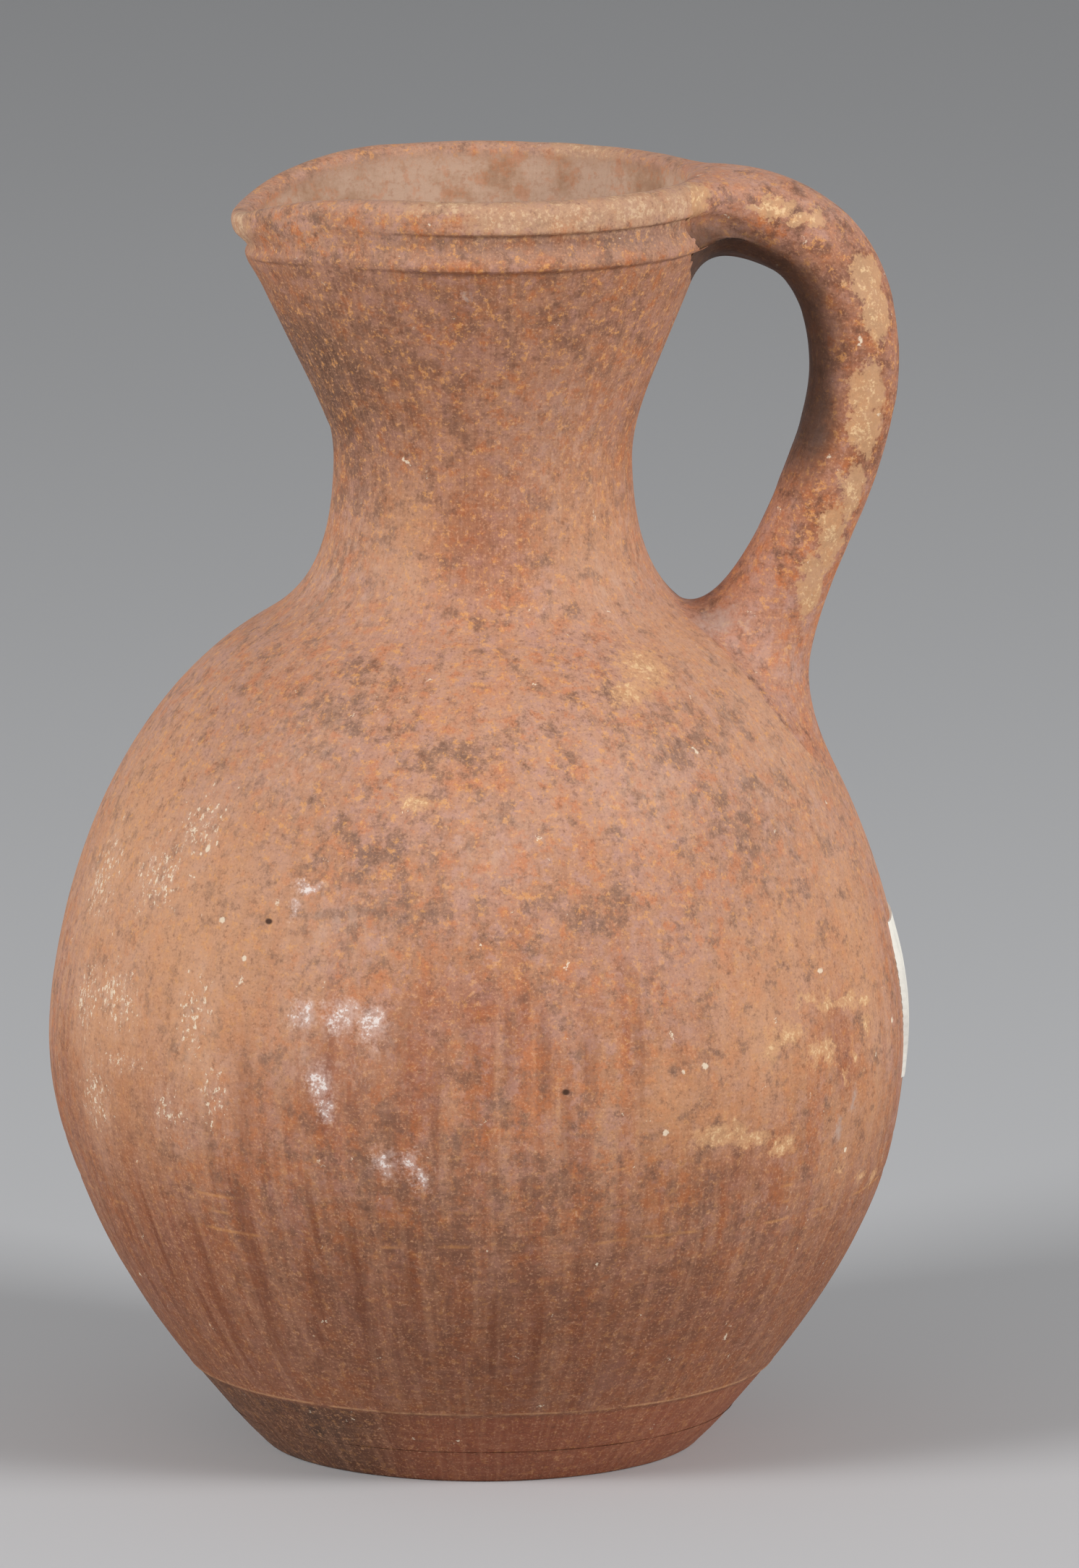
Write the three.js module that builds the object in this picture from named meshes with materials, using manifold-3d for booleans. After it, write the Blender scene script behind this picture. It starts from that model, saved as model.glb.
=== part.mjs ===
// A burnished, handled clay jug with a pulled pouring lip, built up as a potter builds it.
// A flat base disc carries coil-built wall bands, each seated flat on the one below, up to an
// everted rim. One round handle is luted to the rim and to the shoulder with a collar of clay at
// each end. A blank paper label is gummed to the belly.
// Units are millimetres and +Z is up. The origin is the middle of the base, on the resting plane.
// The handle stands toward +X and the pouring lip points toward -X.

import * as THREE from 'three';
import { mergeVertices, toCreasedNormals } from 'three/addons/utils/BufferGeometryUtils.js';
import Module from 'manifold-3d';

// Overall shape of the jug, on the outside
const JUG_HEIGHT = 204.4;
const BASE_RADIUS = 34.9;
const BASE_EDGE_ROUND = 0.6;
const BELLY_RADIUS = 68.5;
const BELLY_HEIGHT = 66;
const NECK_ROOT_RADIUS = 36.4;
const NECK_ROOT_DROP = 72.4;
const WAIST_RADIUS = 23.8;
const WAIST_DROP = 46.4;
const FUNNEL_RADIUS = 36.1;
const FUNNEL_DROP = 10.1;

// How full each stretch of the profile is between those sizes
const LOWER_WALL_POWER = 1.93;
const BELLY_HANDLE = 13.6;
const SHOULDER_HANDLE = 15.3;
const SHOULDER_SLOPE = 1.6;
const ROOT_HANDLE = 2.9;
const WAIST_LOWER_HANDLE = 19.3;
const WAIST_UPPER_HANDLE = 6.2;
const FUNNEL_HANDLE = 24;
const FUNNEL_SLOPE = 0.41;

// The clay wall, the base and the places where one band of clay is set on the next, low ones
// given up from the base and high ones down from the lip
const WALL = 4.6;
const BASE_THICKNESS = 6;
const BELLY_SEAM_HEIGHT = 44;
const BELLY_JOINT_HEIGHT = 72;
const SHOULDER_JOINT_DROP = 104.4;
const NECK_ROOT_JOINT_DROP = 83.4;
const NECK_JOINT_DROP = 62.4;
const FUNNEL_JOINT_DROP = 38.4;
const RIM_JOINT_DROP = 18.4;

// The turning line low on the wall
const TRIM_LINE_HEIGHT = 13;
const TRIM_LINE_DEPTH = 0.4;
const TRIM_LINE_WIDTH = 1.2;

// The rim: a ridge, a groove and a rounded lip
const RIDGE_STAND = 1.0;
const RIDGE_WIDTH = 3.1;
const GROOVE_DEPTH = 0.7;
const GROOVE_WIDTH = 1.0;
const LIP_RADIUS = 36.9;
const LIP_THICKNESS = 4.8;
const LIP_CROWN = 2.6;

// The mouth is a little narrower from front to back, and is pulled out and down at the lip
const MOUTH_NARROWING = 0.055;
const MOUTH_START_DROP = 40.4;
const SPOUT_REACH = 3.1;
const SPOUT_DIP = 6.5;
const SPOUT_POWER = 4.2;
const SPOUT_REACH_POWER = 3;

// The axis wanders a little, as on any pot that is turned by hand
const FOOT_OFFSET = -0.3;
const BELLY_OFFSET = -0.95;
const BELLY_OFFSET_START = 40;
const BELLY_OFFSET_FULL = 60;
const NECK_OFFSET_DROP = 104.4;

// The handle, its path and its section
const HANDLE_REACH = 66.1;
const HANDLE_REACH_DROP = 30.4;
const HANDLE_THICKNESS = 14.3;
const HANDLE_WIDTH = 17;
const HANDLE_TOP_DROP = 7.3;
const HANDLE_TOP_RISE = 3;
const HANDLE_TOP_INSET = 3.6;
const HANDLE_TOP_RUN = 18.5;
const HANDLE_UPPER_BEND = 14.5;
const HANDLE_LOWER_BEND = 14;
const HANDLE_FOOT_DROP = 82.4;
const HANDLE_FOOT_DEPTH = 8.6;
const HANDLE_FOOT_RUN = 22;
const HANDLE_FOOT_LEAN = 0.48;

// The luting collars that cover the two ends of the handle
const COLLAR_COVER = 1.7;
const UPPER_COLLAR_LENGTH = 17;
const UPPER_COLLAR_HALF_HEIGHT = 7.8;
const UPPER_COLLAR_HALF_WIDTH = 17;
const LOWER_COLLAR_LENGTH = 24;
const LOWER_COLLAR_HALF_HEIGHT = 15.5;
const LOWER_COLLAR_HALF_WIDTH = 14.5;
const COLLAR_FLARE_POWER = 2.2;

// The paper label on the side of the belly, below the handle
const LABEL_WIDTH = 34;
const LABEL_HEIGHT = 26;
const LABEL_THICKNESS = 0.5;
const LABEL_MIDDLE_HEIGHT = 72;
const LABEL_MIDDLE_ANGLE = THREE.MathUtils.degToRad(6.5);

// Clearance between pieces that are cut by, or rest on, a curved neighbour
const JOINT_GAP = 0.3;

// Heights that follow from the height of the jug
const NECK_ROOT_HEIGHT = JUG_HEIGHT - NECK_ROOT_DROP;
const WAIST_HEIGHT = JUG_HEIGHT - WAIST_DROP;
const FUNNEL_HEIGHT = JUG_HEIGHT - FUNNEL_DROP;
const SHOULDER_JOINT_HEIGHT = JUG_HEIGHT - SHOULDER_JOINT_DROP;
const NECK_ROOT_JOINT_HEIGHT = JUG_HEIGHT - NECK_ROOT_JOINT_DROP;
const NECK_JOINT_HEIGHT = JUG_HEIGHT - NECK_JOINT_DROP;
const FUNNEL_JOINT_HEIGHT = JUG_HEIGHT - FUNNEL_JOINT_DROP;
const RIM_JOINT_HEIGHT = JUG_HEIGHT - RIM_JOINT_DROP;
const MOUTH_START_HEIGHT = JUG_HEIGHT - MOUTH_START_DROP;
const NECK_OFFSET_START = JUG_HEIGHT - NECK_OFFSET_DROP;
const HANDLE_REACH_HEIGHT = JUG_HEIGHT - HANDLE_REACH_DROP;
const HANDLE_FOOT_HEIGHT = JUG_HEIGHT - HANDLE_FOOT_DROP;

// How finely curves are divided
const ROUND_SEGMENTS = 48;
const SAMPLE_STEP = 1;
const CURVE_SAMPLES = 160;
const OUTSIDE_STEP = 4.5;
const INSIDE_STEP = 7.5;
const HANDLE_SIDES = 20;
const HANDLE_STEP = 5;
const COLLAR_STEPS = 6;
const EDGE_ARC_STEPS = 3;
const CROWN_ARC_STEPS = 4;
const LABEL_ACROSS_STEPS = 10;
const LABEL_UP_STEPS = 6;
const SLOPE_PROBE = 0.25;
const CREASE_ANGLE = THREE.MathUtils.degToRad(35);

const wasm = await Module();
wasm.setup();

// Smooth change from 0 at low to 1 at high
function rise(low, high, value) {
  return THREE.MathUtils.smoothstep(value, low, high);
}

// The profile above the belly, as radius and height
const upperProfile = new THREE.Path();
upperProfile.moveTo(BELLY_RADIUS, BELLY_HEIGHT);
upperProfile.bezierCurveTo(
  BELLY_RADIUS, BELLY_HEIGHT + BELLY_HANDLE,
  NECK_ROOT_RADIUS + SHOULDER_SLOPE * SHOULDER_HANDLE, NECK_ROOT_HEIGHT - SHOULDER_HANDLE,
  NECK_ROOT_RADIUS, NECK_ROOT_HEIGHT,
);
upperProfile.bezierCurveTo(
  NECK_ROOT_RADIUS - SHOULDER_SLOPE * ROOT_HANDLE, NECK_ROOT_HEIGHT + ROOT_HANDLE,
  WAIST_RADIUS, WAIST_HEIGHT - WAIST_LOWER_HANDLE,
  WAIST_RADIUS, WAIST_HEIGHT,
);
upperProfile.bezierCurveTo(
  WAIST_RADIUS, WAIST_HEIGHT + WAIST_UPPER_HANDLE,
  FUNNEL_RADIUS - FUNNEL_SLOPE * FUNNEL_HANDLE, FUNNEL_HEIGHT - FUNNEL_HANDLE,
  FUNNEL_RADIUS, FUNNEL_HEIGHT,
);
const upperSamples = upperProfile.getPoints(CURVE_SAMPLES);

// Radius at a height, read from samples that climb steadily
function radiusIn(samples, height) {
  const above = samples.findIndex((point) => point.y >= height);
  if (above < 0) return samples.at(-1).x;
  if (above === 0) return samples[0].x;
  const low = samples[above - 1];
  const high = samples[above];
  return THREE.MathUtils.mapLinear(height, low.y, high.y, low.x, high.x);
}

// Outer radius of the clay wall at a height
function wallRadius(height) {
  if (height >= BELLY_HEIGHT) return radiusIn(upperSamples, height);
  const below = 1 - Math.max(height, 0) / BELLY_HEIGHT;
  return BELLY_RADIUS - (BELLY_RADIUS - BASE_RADIUS) * below ** LOWER_WALL_POWER;
}

// Direction square to the wall, pointing outward
function wallNormal(height) {
  const climb = wallRadius(height + SLOPE_PROBE) - wallRadius(height - SLOPE_PROBE);
  return new THREE.Vector2(2 * SLOPE_PROBE, -climb).normalize();
}

// The inside of the wall, one wall thickness in from the outside
const innerSamples = [];
for (let height = 0; height < FUNNEL_HEIGHT; height += SAMPLE_STEP) {
  const outside = new THREE.Vector2(wallRadius(height), height);
  innerSamples.push(outside.addScaledVector(wallNormal(height), -WALL));
}

// Moves a point of the plain turned shape to where it lies on the real jug
function settle(point) {
  const bellyShare = rise(BELLY_OFFSET_START, BELLY_OFFSET_FULL, point.z)
    * (1 - rise(NECK_OFFSET_START, NECK_JOINT_HEIGHT, point.z));
  const footShare = 1 - rise(BELLY_OFFSET_START, BELLY_OFFSET_FULL, point.z);
  const mouthShare = Math.max(
    (point.z - MOUTH_START_HEIGHT) / (JUG_HEIGHT - MOUTH_START_HEIGHT), 0,
  );
  const radius = Math.hypot(point.x, point.y);
  const towardSpout = radius > 0 ? Math.max(-point.x / radius, 0) : 0;
  point.x += FOOT_OFFSET * footShare + BELLY_OFFSET * bellyShare;
  point.x -= SPOUT_REACH * towardSpout ** SPOUT_REACH_POWER * mouthShare;
  point.y *= 1 - MOUTH_NARROWING * mouthShare;
  point.z -= SPOUT_DIP * towardSpout ** SPOUT_POWER
    * rise(RIM_JOINT_HEIGHT, JUG_HEIGHT, point.z);
  return point;
}

// Applies a change to every vertex of a geometry
function reshape(geometry, change) {
  const places = geometry.attributes.position;
  const point = new THREE.Vector3();
  for (let index = 0; index < places.count; index += 1) {
    change(point.fromBufferAttribute(places, index));
    places.setXYZ(index, point.x, point.y, point.z);
  }
  return geometry;
}

// Joins shared vertices and drops the flat triangles that poles leave
function welded(geometry) {
  geometry.deleteAttribute('normal');
  geometry.deleteAttribute('uv');
  const merged = mergeVertices(geometry);
  const corners = merged.index.array;
  const kept = [];
  for (let start = 0; start < corners.length; start += 3) {
    const [a, b, c] = corners.slice(start, start + 3);
    if (a !== b && b !== c && c !== a) kept.push(a, b, c);
  }
  merged.setIndex(kept);
  return merged;
}

// A turned solid from a closed outline of radius and height, laid on the real jug's shape
function turned(outline) {
  const geometry = new THREE.LatheGeometry(outline, ROUND_SEGMENTS);
  geometry.rotateX(Math.PI / 2);
  return welded(reshape(geometry, settle));
}

// Heights from low to high with a steady spacing
function heights(low, high, spacing) {
  const count = Math.max(Math.round((high - low) / spacing), 1);
  return Array.from({ length: count + 1 }, (_, step) => low + (high - low) * step / count);
}

// Points up the outside of the wall
function outsidePoints(low, high) {
  return heights(low, high, OUTSIDE_STEP).map(
    (height) => new THREE.Vector2(wallRadius(height), height),
  );
}

// Points down the inside of the wall
function insidePoints(low, high) {
  return heights(low, high, INSIDE_STEP).reverse().map(
    (height) => new THREE.Vector2(radiusIn(innerSamples, height), height),
  );
}

// One coil-built band of wall between two flat joints
function wallBand(low, high) {
  const outline = [...outsidePoints(low, high), ...insidePoints(low, high)];
  outline.push(outline[0].clone());
  return outline;
}

// The flat base disc with its worn edge
function baseDiscOutline() {
  const edge = new THREE.Path();
  edge.moveTo(BASE_RADIUS - BASE_EDGE_ROUND, 0);
  edge.quadraticCurveTo(BASE_RADIUS, 0, wallRadius(BASE_EDGE_ROUND), BASE_EDGE_ROUND);
  return [
    new THREE.Vector2(0, 0),
    ...edge.getPoints(EDGE_ARC_STEPS),
    ...outsidePoints(BASE_EDGE_ROUND, BASE_THICKNESS).slice(1),
    new THREE.Vector2(0, BASE_THICKNESS),
  ];
}

// The lower wall, with the turning line cut around it
function lowerWallOutline() {
  const lineBottom = TRIM_LINE_HEIGHT - TRIM_LINE_WIDTH / 2;
  const lineTop = TRIM_LINE_HEIGHT + TRIM_LINE_WIDTH / 2;
  const outline = [
    ...outsidePoints(BASE_THICKNESS, lineBottom),
    new THREE.Vector2(wallRadius(TRIM_LINE_HEIGHT) - TRIM_LINE_DEPTH, TRIM_LINE_HEIGHT),
    ...outsidePoints(lineTop, BELLY_SEAM_HEIGHT),
    ...insidePoints(BASE_THICKNESS, BELLY_SEAM_HEIGHT),
  ];
  outline.push(outline[0].clone());
  return outline;
}

// The outside of the rim, from its joint up to the outer edge of the crown
function rimOutsidePoints() {
  const ridgeTop = FUNNEL_HEIGHT + RIDGE_WIDTH;
  const grooveTop = ridgeTop + GROOVE_WIDTH + GROOVE_DEPTH;
  const ridge = new THREE.Path();
  ridge.moveTo(FUNNEL_RADIUS, FUNNEL_HEIGHT);
  ridge.quadraticCurveTo(
    FUNNEL_RADIUS + 2 * RIDGE_STAND, FUNNEL_HEIGHT + RIDGE_WIDTH / 2,
    LIP_RADIUS - GROOVE_DEPTH, ridgeTop,
  );
  const lip = new THREE.Path();
  lip.moveTo(LIP_RADIUS - GROOVE_DEPTH, grooveTop - GROOVE_DEPTH);
  lip.quadraticCurveTo(
    LIP_RADIUS, grooveTop - GROOVE_DEPTH,
    LIP_RADIUS, (grooveTop + JUG_HEIGHT) / 2,
  );
  return [
    ...outsidePoints(RIM_JOINT_HEIGHT, FUNNEL_HEIGHT).slice(0, -1),
    ...ridge.getPoints(EDGE_ARC_STEPS),
    ...lip.getPoints(EDGE_ARC_STEPS),
  ];
}

// The rounded crown of the lip, from its outer edge over to its inner edge
function rimCrownPoints() {
  const crown = new THREE.Path();
  const crownRadius = LIP_RADIUS - LIP_THICKNESS / 2;
  crown.moveTo(LIP_RADIUS, JUG_HEIGHT - LIP_CROWN);
  crown.quadraticCurveTo(LIP_RADIUS, JUG_HEIGHT, crownRadius, JUG_HEIGHT);
  crown.quadraticCurveTo(
    LIP_RADIUS - LIP_THICKNESS, JUG_HEIGHT,
    LIP_RADIUS - LIP_THICKNESS, JUG_HEIGHT - LIP_CROWN,
  );
  return crown.getPoints(CROWN_ARC_STEPS);
}

// The whole rim band
function rimOutline() {
  const outline = [
    ...rimOutsidePoints(),
    ...rimCrownPoints(),
    ...insidePoints(RIM_JOINT_HEIGHT, FUNNEL_HEIGHT - WALL),
  ];
  outline.push(outline[0].clone());
  return outline;
}

// Moves each point of an open outline outward, square to the outline
function grown(outline, distance) {
  return outline.map((point, index) => {
    const before = outline[Math.max(index - 1, 0)];
    const after = outline[Math.min(index + 1, outline.length - 1)];
    const outward = new THREE.Vector2(after.y - before.y, before.x - after.x).normalize();
    return point.clone().addScaledVector(outward, distance);
  });
}

// A solid of the jug without its hollow, grown by the joint gap, for cutting what joins it
function filledJug() {
  const crownRadius = LIP_RADIUS - LIP_THICKNESS / 2;
  const outside = grown([
    ...outsidePoints(SHOULDER_JOINT_HEIGHT, NECK_ROOT_JOINT_HEIGHT).slice(0, -1),
    ...outsidePoints(NECK_ROOT_JOINT_HEIGHT, NECK_JOINT_HEIGHT).slice(0, -1),
    ...outsidePoints(NECK_JOINT_HEIGHT, FUNNEL_JOINT_HEIGHT).slice(0, -1),
    ...outsidePoints(FUNNEL_JOINT_HEIGHT, RIM_JOINT_HEIGHT).slice(0, -1),
    ...rimOutsidePoints(),
    ...rimCrownPoints().slice(1).filter((point) => point.x >= crownRadius),
  ], JOINT_GAP);
  return turned([
    new THREE.Vector2(0, outside[0].y),
    ...outside,
    new THREE.Vector2(0, outside.at(-1).y),
  ]);
}

// The path along the middle of the handle, from inside the rim to inside the shoulder
const handleTop = new THREE.Vector3(
  LIP_RADIUS - HANDLE_TOP_INSET, 0, JUG_HEIGHT - HANDLE_TOP_DROP,
);
const handleMiddle = new THREE.Vector3(
  HANDLE_REACH - HANDLE_THICKNESS / 2, 0, HANDLE_REACH_HEIGHT,
);
const handleFoot = new THREE.Vector3(
  wallRadius(HANDLE_FOOT_HEIGHT) - HANDLE_FOOT_DEPTH, 0, HANDLE_FOOT_HEIGHT,
);
const handlePath = new THREE.CurvePath();
handlePath.add(new THREE.CubicBezierCurve3(
  handleTop,
  new THREE.Vector3(handleTop.x + HANDLE_TOP_RUN, 0, handleTop.z + HANDLE_TOP_RISE),
  new THREE.Vector3(handleMiddle.x, 0, handleMiddle.z + HANDLE_UPPER_BEND),
  handleMiddle,
));
handlePath.add(new THREE.CubicBezierCurve3(
  handleMiddle,
  new THREE.Vector3(handleMiddle.x, 0, handleMiddle.z - HANDLE_LOWER_BEND),
  new THREE.Vector3(
    handleFoot.x + HANDLE_FOOT_LEAN * HANDLE_FOOT_RUN, 0, handleFoot.z + HANDLE_FOOT_RUN,
  ),
  handleFoot,
));
const handleLength = handlePath.getLength();

// One ring of a swept oval at a distance along the handle's path
function ringAt(distance, halfHeight, halfWidth) {
  const share = distance / handleLength;
  const centre = handlePath.getPointAt(share);
  const along = handlePath.getTangentAt(share);
  const outward = new THREE.Vector3(along.z, 0, -along.x).negate();
  const ring = [];
  for (let side = 0; side < HANDLE_SIDES; side += 1) {
    const angle = 2 * Math.PI * side / HANDLE_SIDES;
    const point = centre.clone().addScaledVector(outward, halfHeight * Math.cos(angle));
    point.y += halfWidth * Math.sin(angle);
    ring.push(point);
  }
  return { centre, ring };
}

// A closed solid through a list of rings, each given by its distance and half sizes
function swept(stations) {
  const places = [];
  const corners = [];
  const rings = stations.map((station) => ringAt(...station));
  for (const { ring } of rings) {
    for (const point of ring) places.push(point.x, point.y, point.z);
  }
  const firstCap = places.length / 3;
  const lastCap = firstCap + 1;
  const lastRing = (rings.length - 1) * HANDLE_SIDES;
  for (const { centre } of [rings[0], rings.at(-1)]) places.push(centre.x, centre.y, centre.z);
  for (let side = 0; side < HANDLE_SIDES; side += 1) {
    const next = (side + 1) % HANDLE_SIDES;
    corners.push(firstCap, side, next);
    corners.push(lastCap, lastRing + next, lastRing + side);
    for (let base = 0; base < lastRing; base += HANDLE_SIDES) {
      corners.push(base + side, base + HANDLE_SIDES + next, base + next);
      corners.push(base + side, base + HANDLE_SIDES + side, base + HANDLE_SIDES + next);
    }
  }
  const geometry = new THREE.BufferGeometry();
  geometry.setAttribute('position', new THREE.Float32BufferAttribute(places, 3));
  geometry.setIndex(corners);
  return geometry;
}

// The handle, thinner by the collar's cover where a collar goes round it, and grown if asked
function handleSolid(grow) {
  const halfHeight = HANDLE_THICKNESS / 2;
  const halfWidth = HANDLE_WIDTH / 2;
  const upperEdge = UPPER_COLLAR_LENGTH + JOINT_GAP - grow;
  const lowerEdge = handleLength - LOWER_COLLAR_LENGTH - JOINT_GAP + grow;
  const thin = [halfHeight - COLLAR_COVER + grow, halfWidth - COLLAR_COVER + grow];
  const full = [halfHeight + grow, halfWidth + grow];
  return swept([
    ...heights(0, upperEdge, HANDLE_STEP).map((distance) => [distance, ...thin]),
    ...heights(upperEdge, lowerEdge, HANDLE_STEP).map((distance) => [distance, ...full]),
    ...heights(lowerEdge, handleLength, HANDLE_STEP).map((distance) => [distance, ...thin]),
  ]);
}

// A flared collar whose size eases from its root on the jug to the section of the handle
function collarSolid(length, rootHalfHeight, rootHalfWidth, placeAlong) {
  const stations = heights(0, length, length / COLLAR_STEPS).map((distance) => {
    const flare = Math.max(1 - distance / length, 0) ** COLLAR_FLARE_POWER;
    return [
      placeAlong(distance),
      THREE.MathUtils.lerp(HANDLE_THICKNESS / 2, rootHalfHeight, flare),
      THREE.MathUtils.lerp(HANDLE_WIDTH / 2, rootHalfWidth, flare),
    ];
  });
  stations.sort((one, other) => one[0] - other[0]);
  return swept(stations);
}

// Turns a closed geometry into a solid that can be cut
function solidFrom(geometry) {
  const mesh = new wasm.Mesh({
    numProp: 3,
    vertProperties: new Float32Array(geometry.attributes.position.array),
    triVerts: new Uint32Array(geometry.index.array),
  });
  return new wasm.Manifold(mesh);
}

// Turns a cut solid back into a geometry, keeping its largest body
function geometryFrom(solid) {
  const bodies = solid.decompose().sort((one, other) => other.volume() - one.volume());
  const mesh = bodies[0].getMesh();
  const geometry = new THREE.BufferGeometry();
  geometry.setAttribute(
    'position', new THREE.Float32BufferAttribute(mesh.vertProperties, mesh.numProp),
  );
  geometry.setIndex(Array.from(mesh.triVerts));
  return geometry;
}

// The paper label, a thin sheet that follows the belly
function labelGeometry() {
  const geometry = new THREE.BoxGeometry(
    LABEL_WIDTH, LABEL_HEIGHT, LABEL_THICKNESS, LABEL_ACROSS_STEPS, LABEL_UP_STEPS, 1,
  );
  return welded(reshape(geometry, (point) => {
    const height = LABEL_MIDDLE_HEIGHT + point.y;
    const stand = point.z + LABEL_THICKNESS / 2 + JOINT_GAP;
    const radius = wallRadius(height) + stand;
    const angle = LABEL_MIDDLE_ANGLE + point.x / BELLY_RADIUS;
    return settle(point.set(radius * Math.cos(angle), radius * Math.sin(angle), height));
  }));
}

const clay = { roughness: 0.55, metalness: 0 };
const slip = new THREE.MeshStandardMaterial({ color: 0xa8613f, ...clay });
const darkSlip = new THREE.MeshStandardMaterial({ color: 0x8f4f37, ...clay });
const wornSlip = new THREE.MeshStandardMaterial({ color: 0xc08a5c, ...clay });
const paper = new THREE.MeshStandardMaterial({ color: 0xe6e2d6, roughness: 0.9, metalness: 0 });

const jug = new THREE.Group();

// Adds one named piece of the jug
function addPiece(name, geometry, material) {
  const piece = new THREE.Mesh(toCreasedNormals(geometry, CREASE_ANGLE), material);
  piece.name = name;
  jug.add(piece);
}

addPiece('base_disc', turned(baseDiscOutline()), darkSlip);
addPiece('lower_wall', turned(lowerWallOutline()), darkSlip);
for (const [name, low, high] of [
  ['lower_belly', BELLY_SEAM_HEIGHT, BELLY_JOINT_HEIGHT],
  ['upper_belly', BELLY_JOINT_HEIGHT, SHOULDER_JOINT_HEIGHT],
  ['shoulder', SHOULDER_JOINT_HEIGHT, NECK_ROOT_JOINT_HEIGHT],
  ['neck_root', NECK_ROOT_JOINT_HEIGHT, NECK_JOINT_HEIGHT],
  ['neck', NECK_JOINT_HEIGHT, FUNNEL_JOINT_HEIGHT],
  ['mouth_funnel', FUNNEL_JOINT_HEIGHT, RIM_JOINT_HEIGHT],
]) {
  addPiece(name, turned(wallBand(low, high)), slip);
}
addPiece('rim_band', turned(rimOutline()), wornSlip);

const jugCutter = solidFrom(filledJug());
const handleCutter = solidFrom(handleSolid(JOINT_GAP));
const handle = solidFrom(handleSolid(0)).subtract(jugCutter);
const upperCollar = solidFrom(collarSolid(
  UPPER_COLLAR_LENGTH, UPPER_COLLAR_HALF_HEIGHT, UPPER_COLLAR_HALF_WIDTH,
  (distance) => distance,
));
const lowerCollar = solidFrom(collarSolid(
  LOWER_COLLAR_LENGTH, LOWER_COLLAR_HALF_HEIGHT, LOWER_COLLAR_HALF_WIDTH,
  (distance) => handleLength - distance,
));
addPiece('handle', geometryFrom(handle), wornSlip);
addPiece(
  'upper_handle_luting',
  geometryFrom(upperCollar.subtract(jugCutter).subtract(handleCutter)),
  slip,
);
addPiece(
  'lower_handle_luting',
  geometryFrom(lowerCollar.subtract(jugCutter).subtract(handleCutter)),
  slip,
);
addPiece('paper_label', labelGeometry(), paper);

export default jug;
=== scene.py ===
"""Looks of the burnished jug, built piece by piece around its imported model.

Every skin is a grid that is wrapped round on itself and formed in code. Sizes are in millimetres
until a mesh is written, which is in metres. Bearings run round the jug in degrees: 0 faces the
camera, 90 the handle and -90 the pouring lip.
"""

import logging
import math
from collections.abc import Callable, Sequence
from dataclasses import dataclass, field
from enum import Enum
from functools import reduce
from itertools import product

import bmesh
import bpy
import numpy as np
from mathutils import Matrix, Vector


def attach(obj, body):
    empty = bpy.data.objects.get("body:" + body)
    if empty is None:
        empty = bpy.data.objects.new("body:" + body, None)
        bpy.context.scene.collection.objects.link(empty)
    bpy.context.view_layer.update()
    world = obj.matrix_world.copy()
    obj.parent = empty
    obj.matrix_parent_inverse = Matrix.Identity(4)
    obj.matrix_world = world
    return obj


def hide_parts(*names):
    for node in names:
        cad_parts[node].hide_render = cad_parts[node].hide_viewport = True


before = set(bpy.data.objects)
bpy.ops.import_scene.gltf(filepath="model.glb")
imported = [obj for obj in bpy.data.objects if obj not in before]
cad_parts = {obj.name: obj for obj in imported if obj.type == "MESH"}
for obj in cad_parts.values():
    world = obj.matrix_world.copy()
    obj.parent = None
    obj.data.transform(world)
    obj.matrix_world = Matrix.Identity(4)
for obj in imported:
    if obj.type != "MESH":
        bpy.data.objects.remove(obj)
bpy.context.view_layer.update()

MM = 0.001
ROUND_STEPS = 600
BAR_STEPS = 96
DISC_RINGS = 44
CROWN_ROWS = 18
LUTING_ROWS = 30
OUTER_SPARE = 0.4
INNER_SPARE = 0.8
HAND_MARKS = ((0.22, [34, 34, 34], 1), (0.09, [4.2, 4.2, 34], 2), (0.04, [1.7, 1.7, 20], 3))
THROWING_MARKS = ((0.28, [40, 40, 4.2], 7), (0.15, [12, 12, 12], 8))
BAR_MARKS = ((0.26, [9, 9, 15], 21), (0.14, [3.4, 3.4, 34], 22))

Socket = bpy.types.NodeSocket

log = logging.getLogger("jug")


class Slot(Enum):
    """The material slots of the record."""

    FOOT = "foot_slip"
    BURNISHED = "burnished_slip"
    RIM = "worn_rim_slip"
    HANDLE = "worn_handle_slip"
    PAPER = "paper"


def ease(low: float, high: float, value: np.ndarray) -> np.ndarray:
    """Gives a smooth change from 0 at low to 1 at high."""
    share = np.clip((value - low) / (high - low), 0, 1)
    return share * share * (3 - 2 * share)


def hump(middle: float, reach: float, value: np.ndarray) -> np.ndarray:
    """Gives a smooth bump of height 1 at the middle that dies out past its reach."""
    return np.exp(-(((value - middle) / reach) ** 2))


def lattice(cell: np.ndarray, seed: int) -> np.ndarray:
    """Gives each whole-numbered cell its own steady value.

    Args:
        cell: Whole numbers, with three along the last axis.
        seed: Picks one of many unlike patterns.

    Returns:
        Values from -1 to 1.
    """
    mixed = (cell * np.array([73856093, 19349663, 83492791])).sum(axis=-1) + seed * 977
    mixed = np.bitwise_xor(mixed, mixed >> 13) * 1274126177
    mixed = np.bitwise_xor(mixed, mixed >> 16)
    return (mixed & 0xFFFF) / 32767.5 - 1


def clay_noise(place: np.ndarray, seed: int) -> np.ndarray:
    """Gives smooth noise that is the same in every run.

    Args:
        place: Places in cells of the pattern, with three numbers along the last axis.
        seed: Picks one of many unlike patterns.

    Returns:
        Values from -1 to 1.
    """
    base = np.floor(place).astype(np.int64)
    share = place - base
    smooth = share * share * (3 - 2 * share)
    total = np.zeros(place.shape[:-1])
    for corner in product((0, 1), repeat=3):
        weight = np.where(corner, smooth, 1 - smooth).prod(axis=-1)
        total += weight * lattice(base + corner, seed)
    return total


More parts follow.
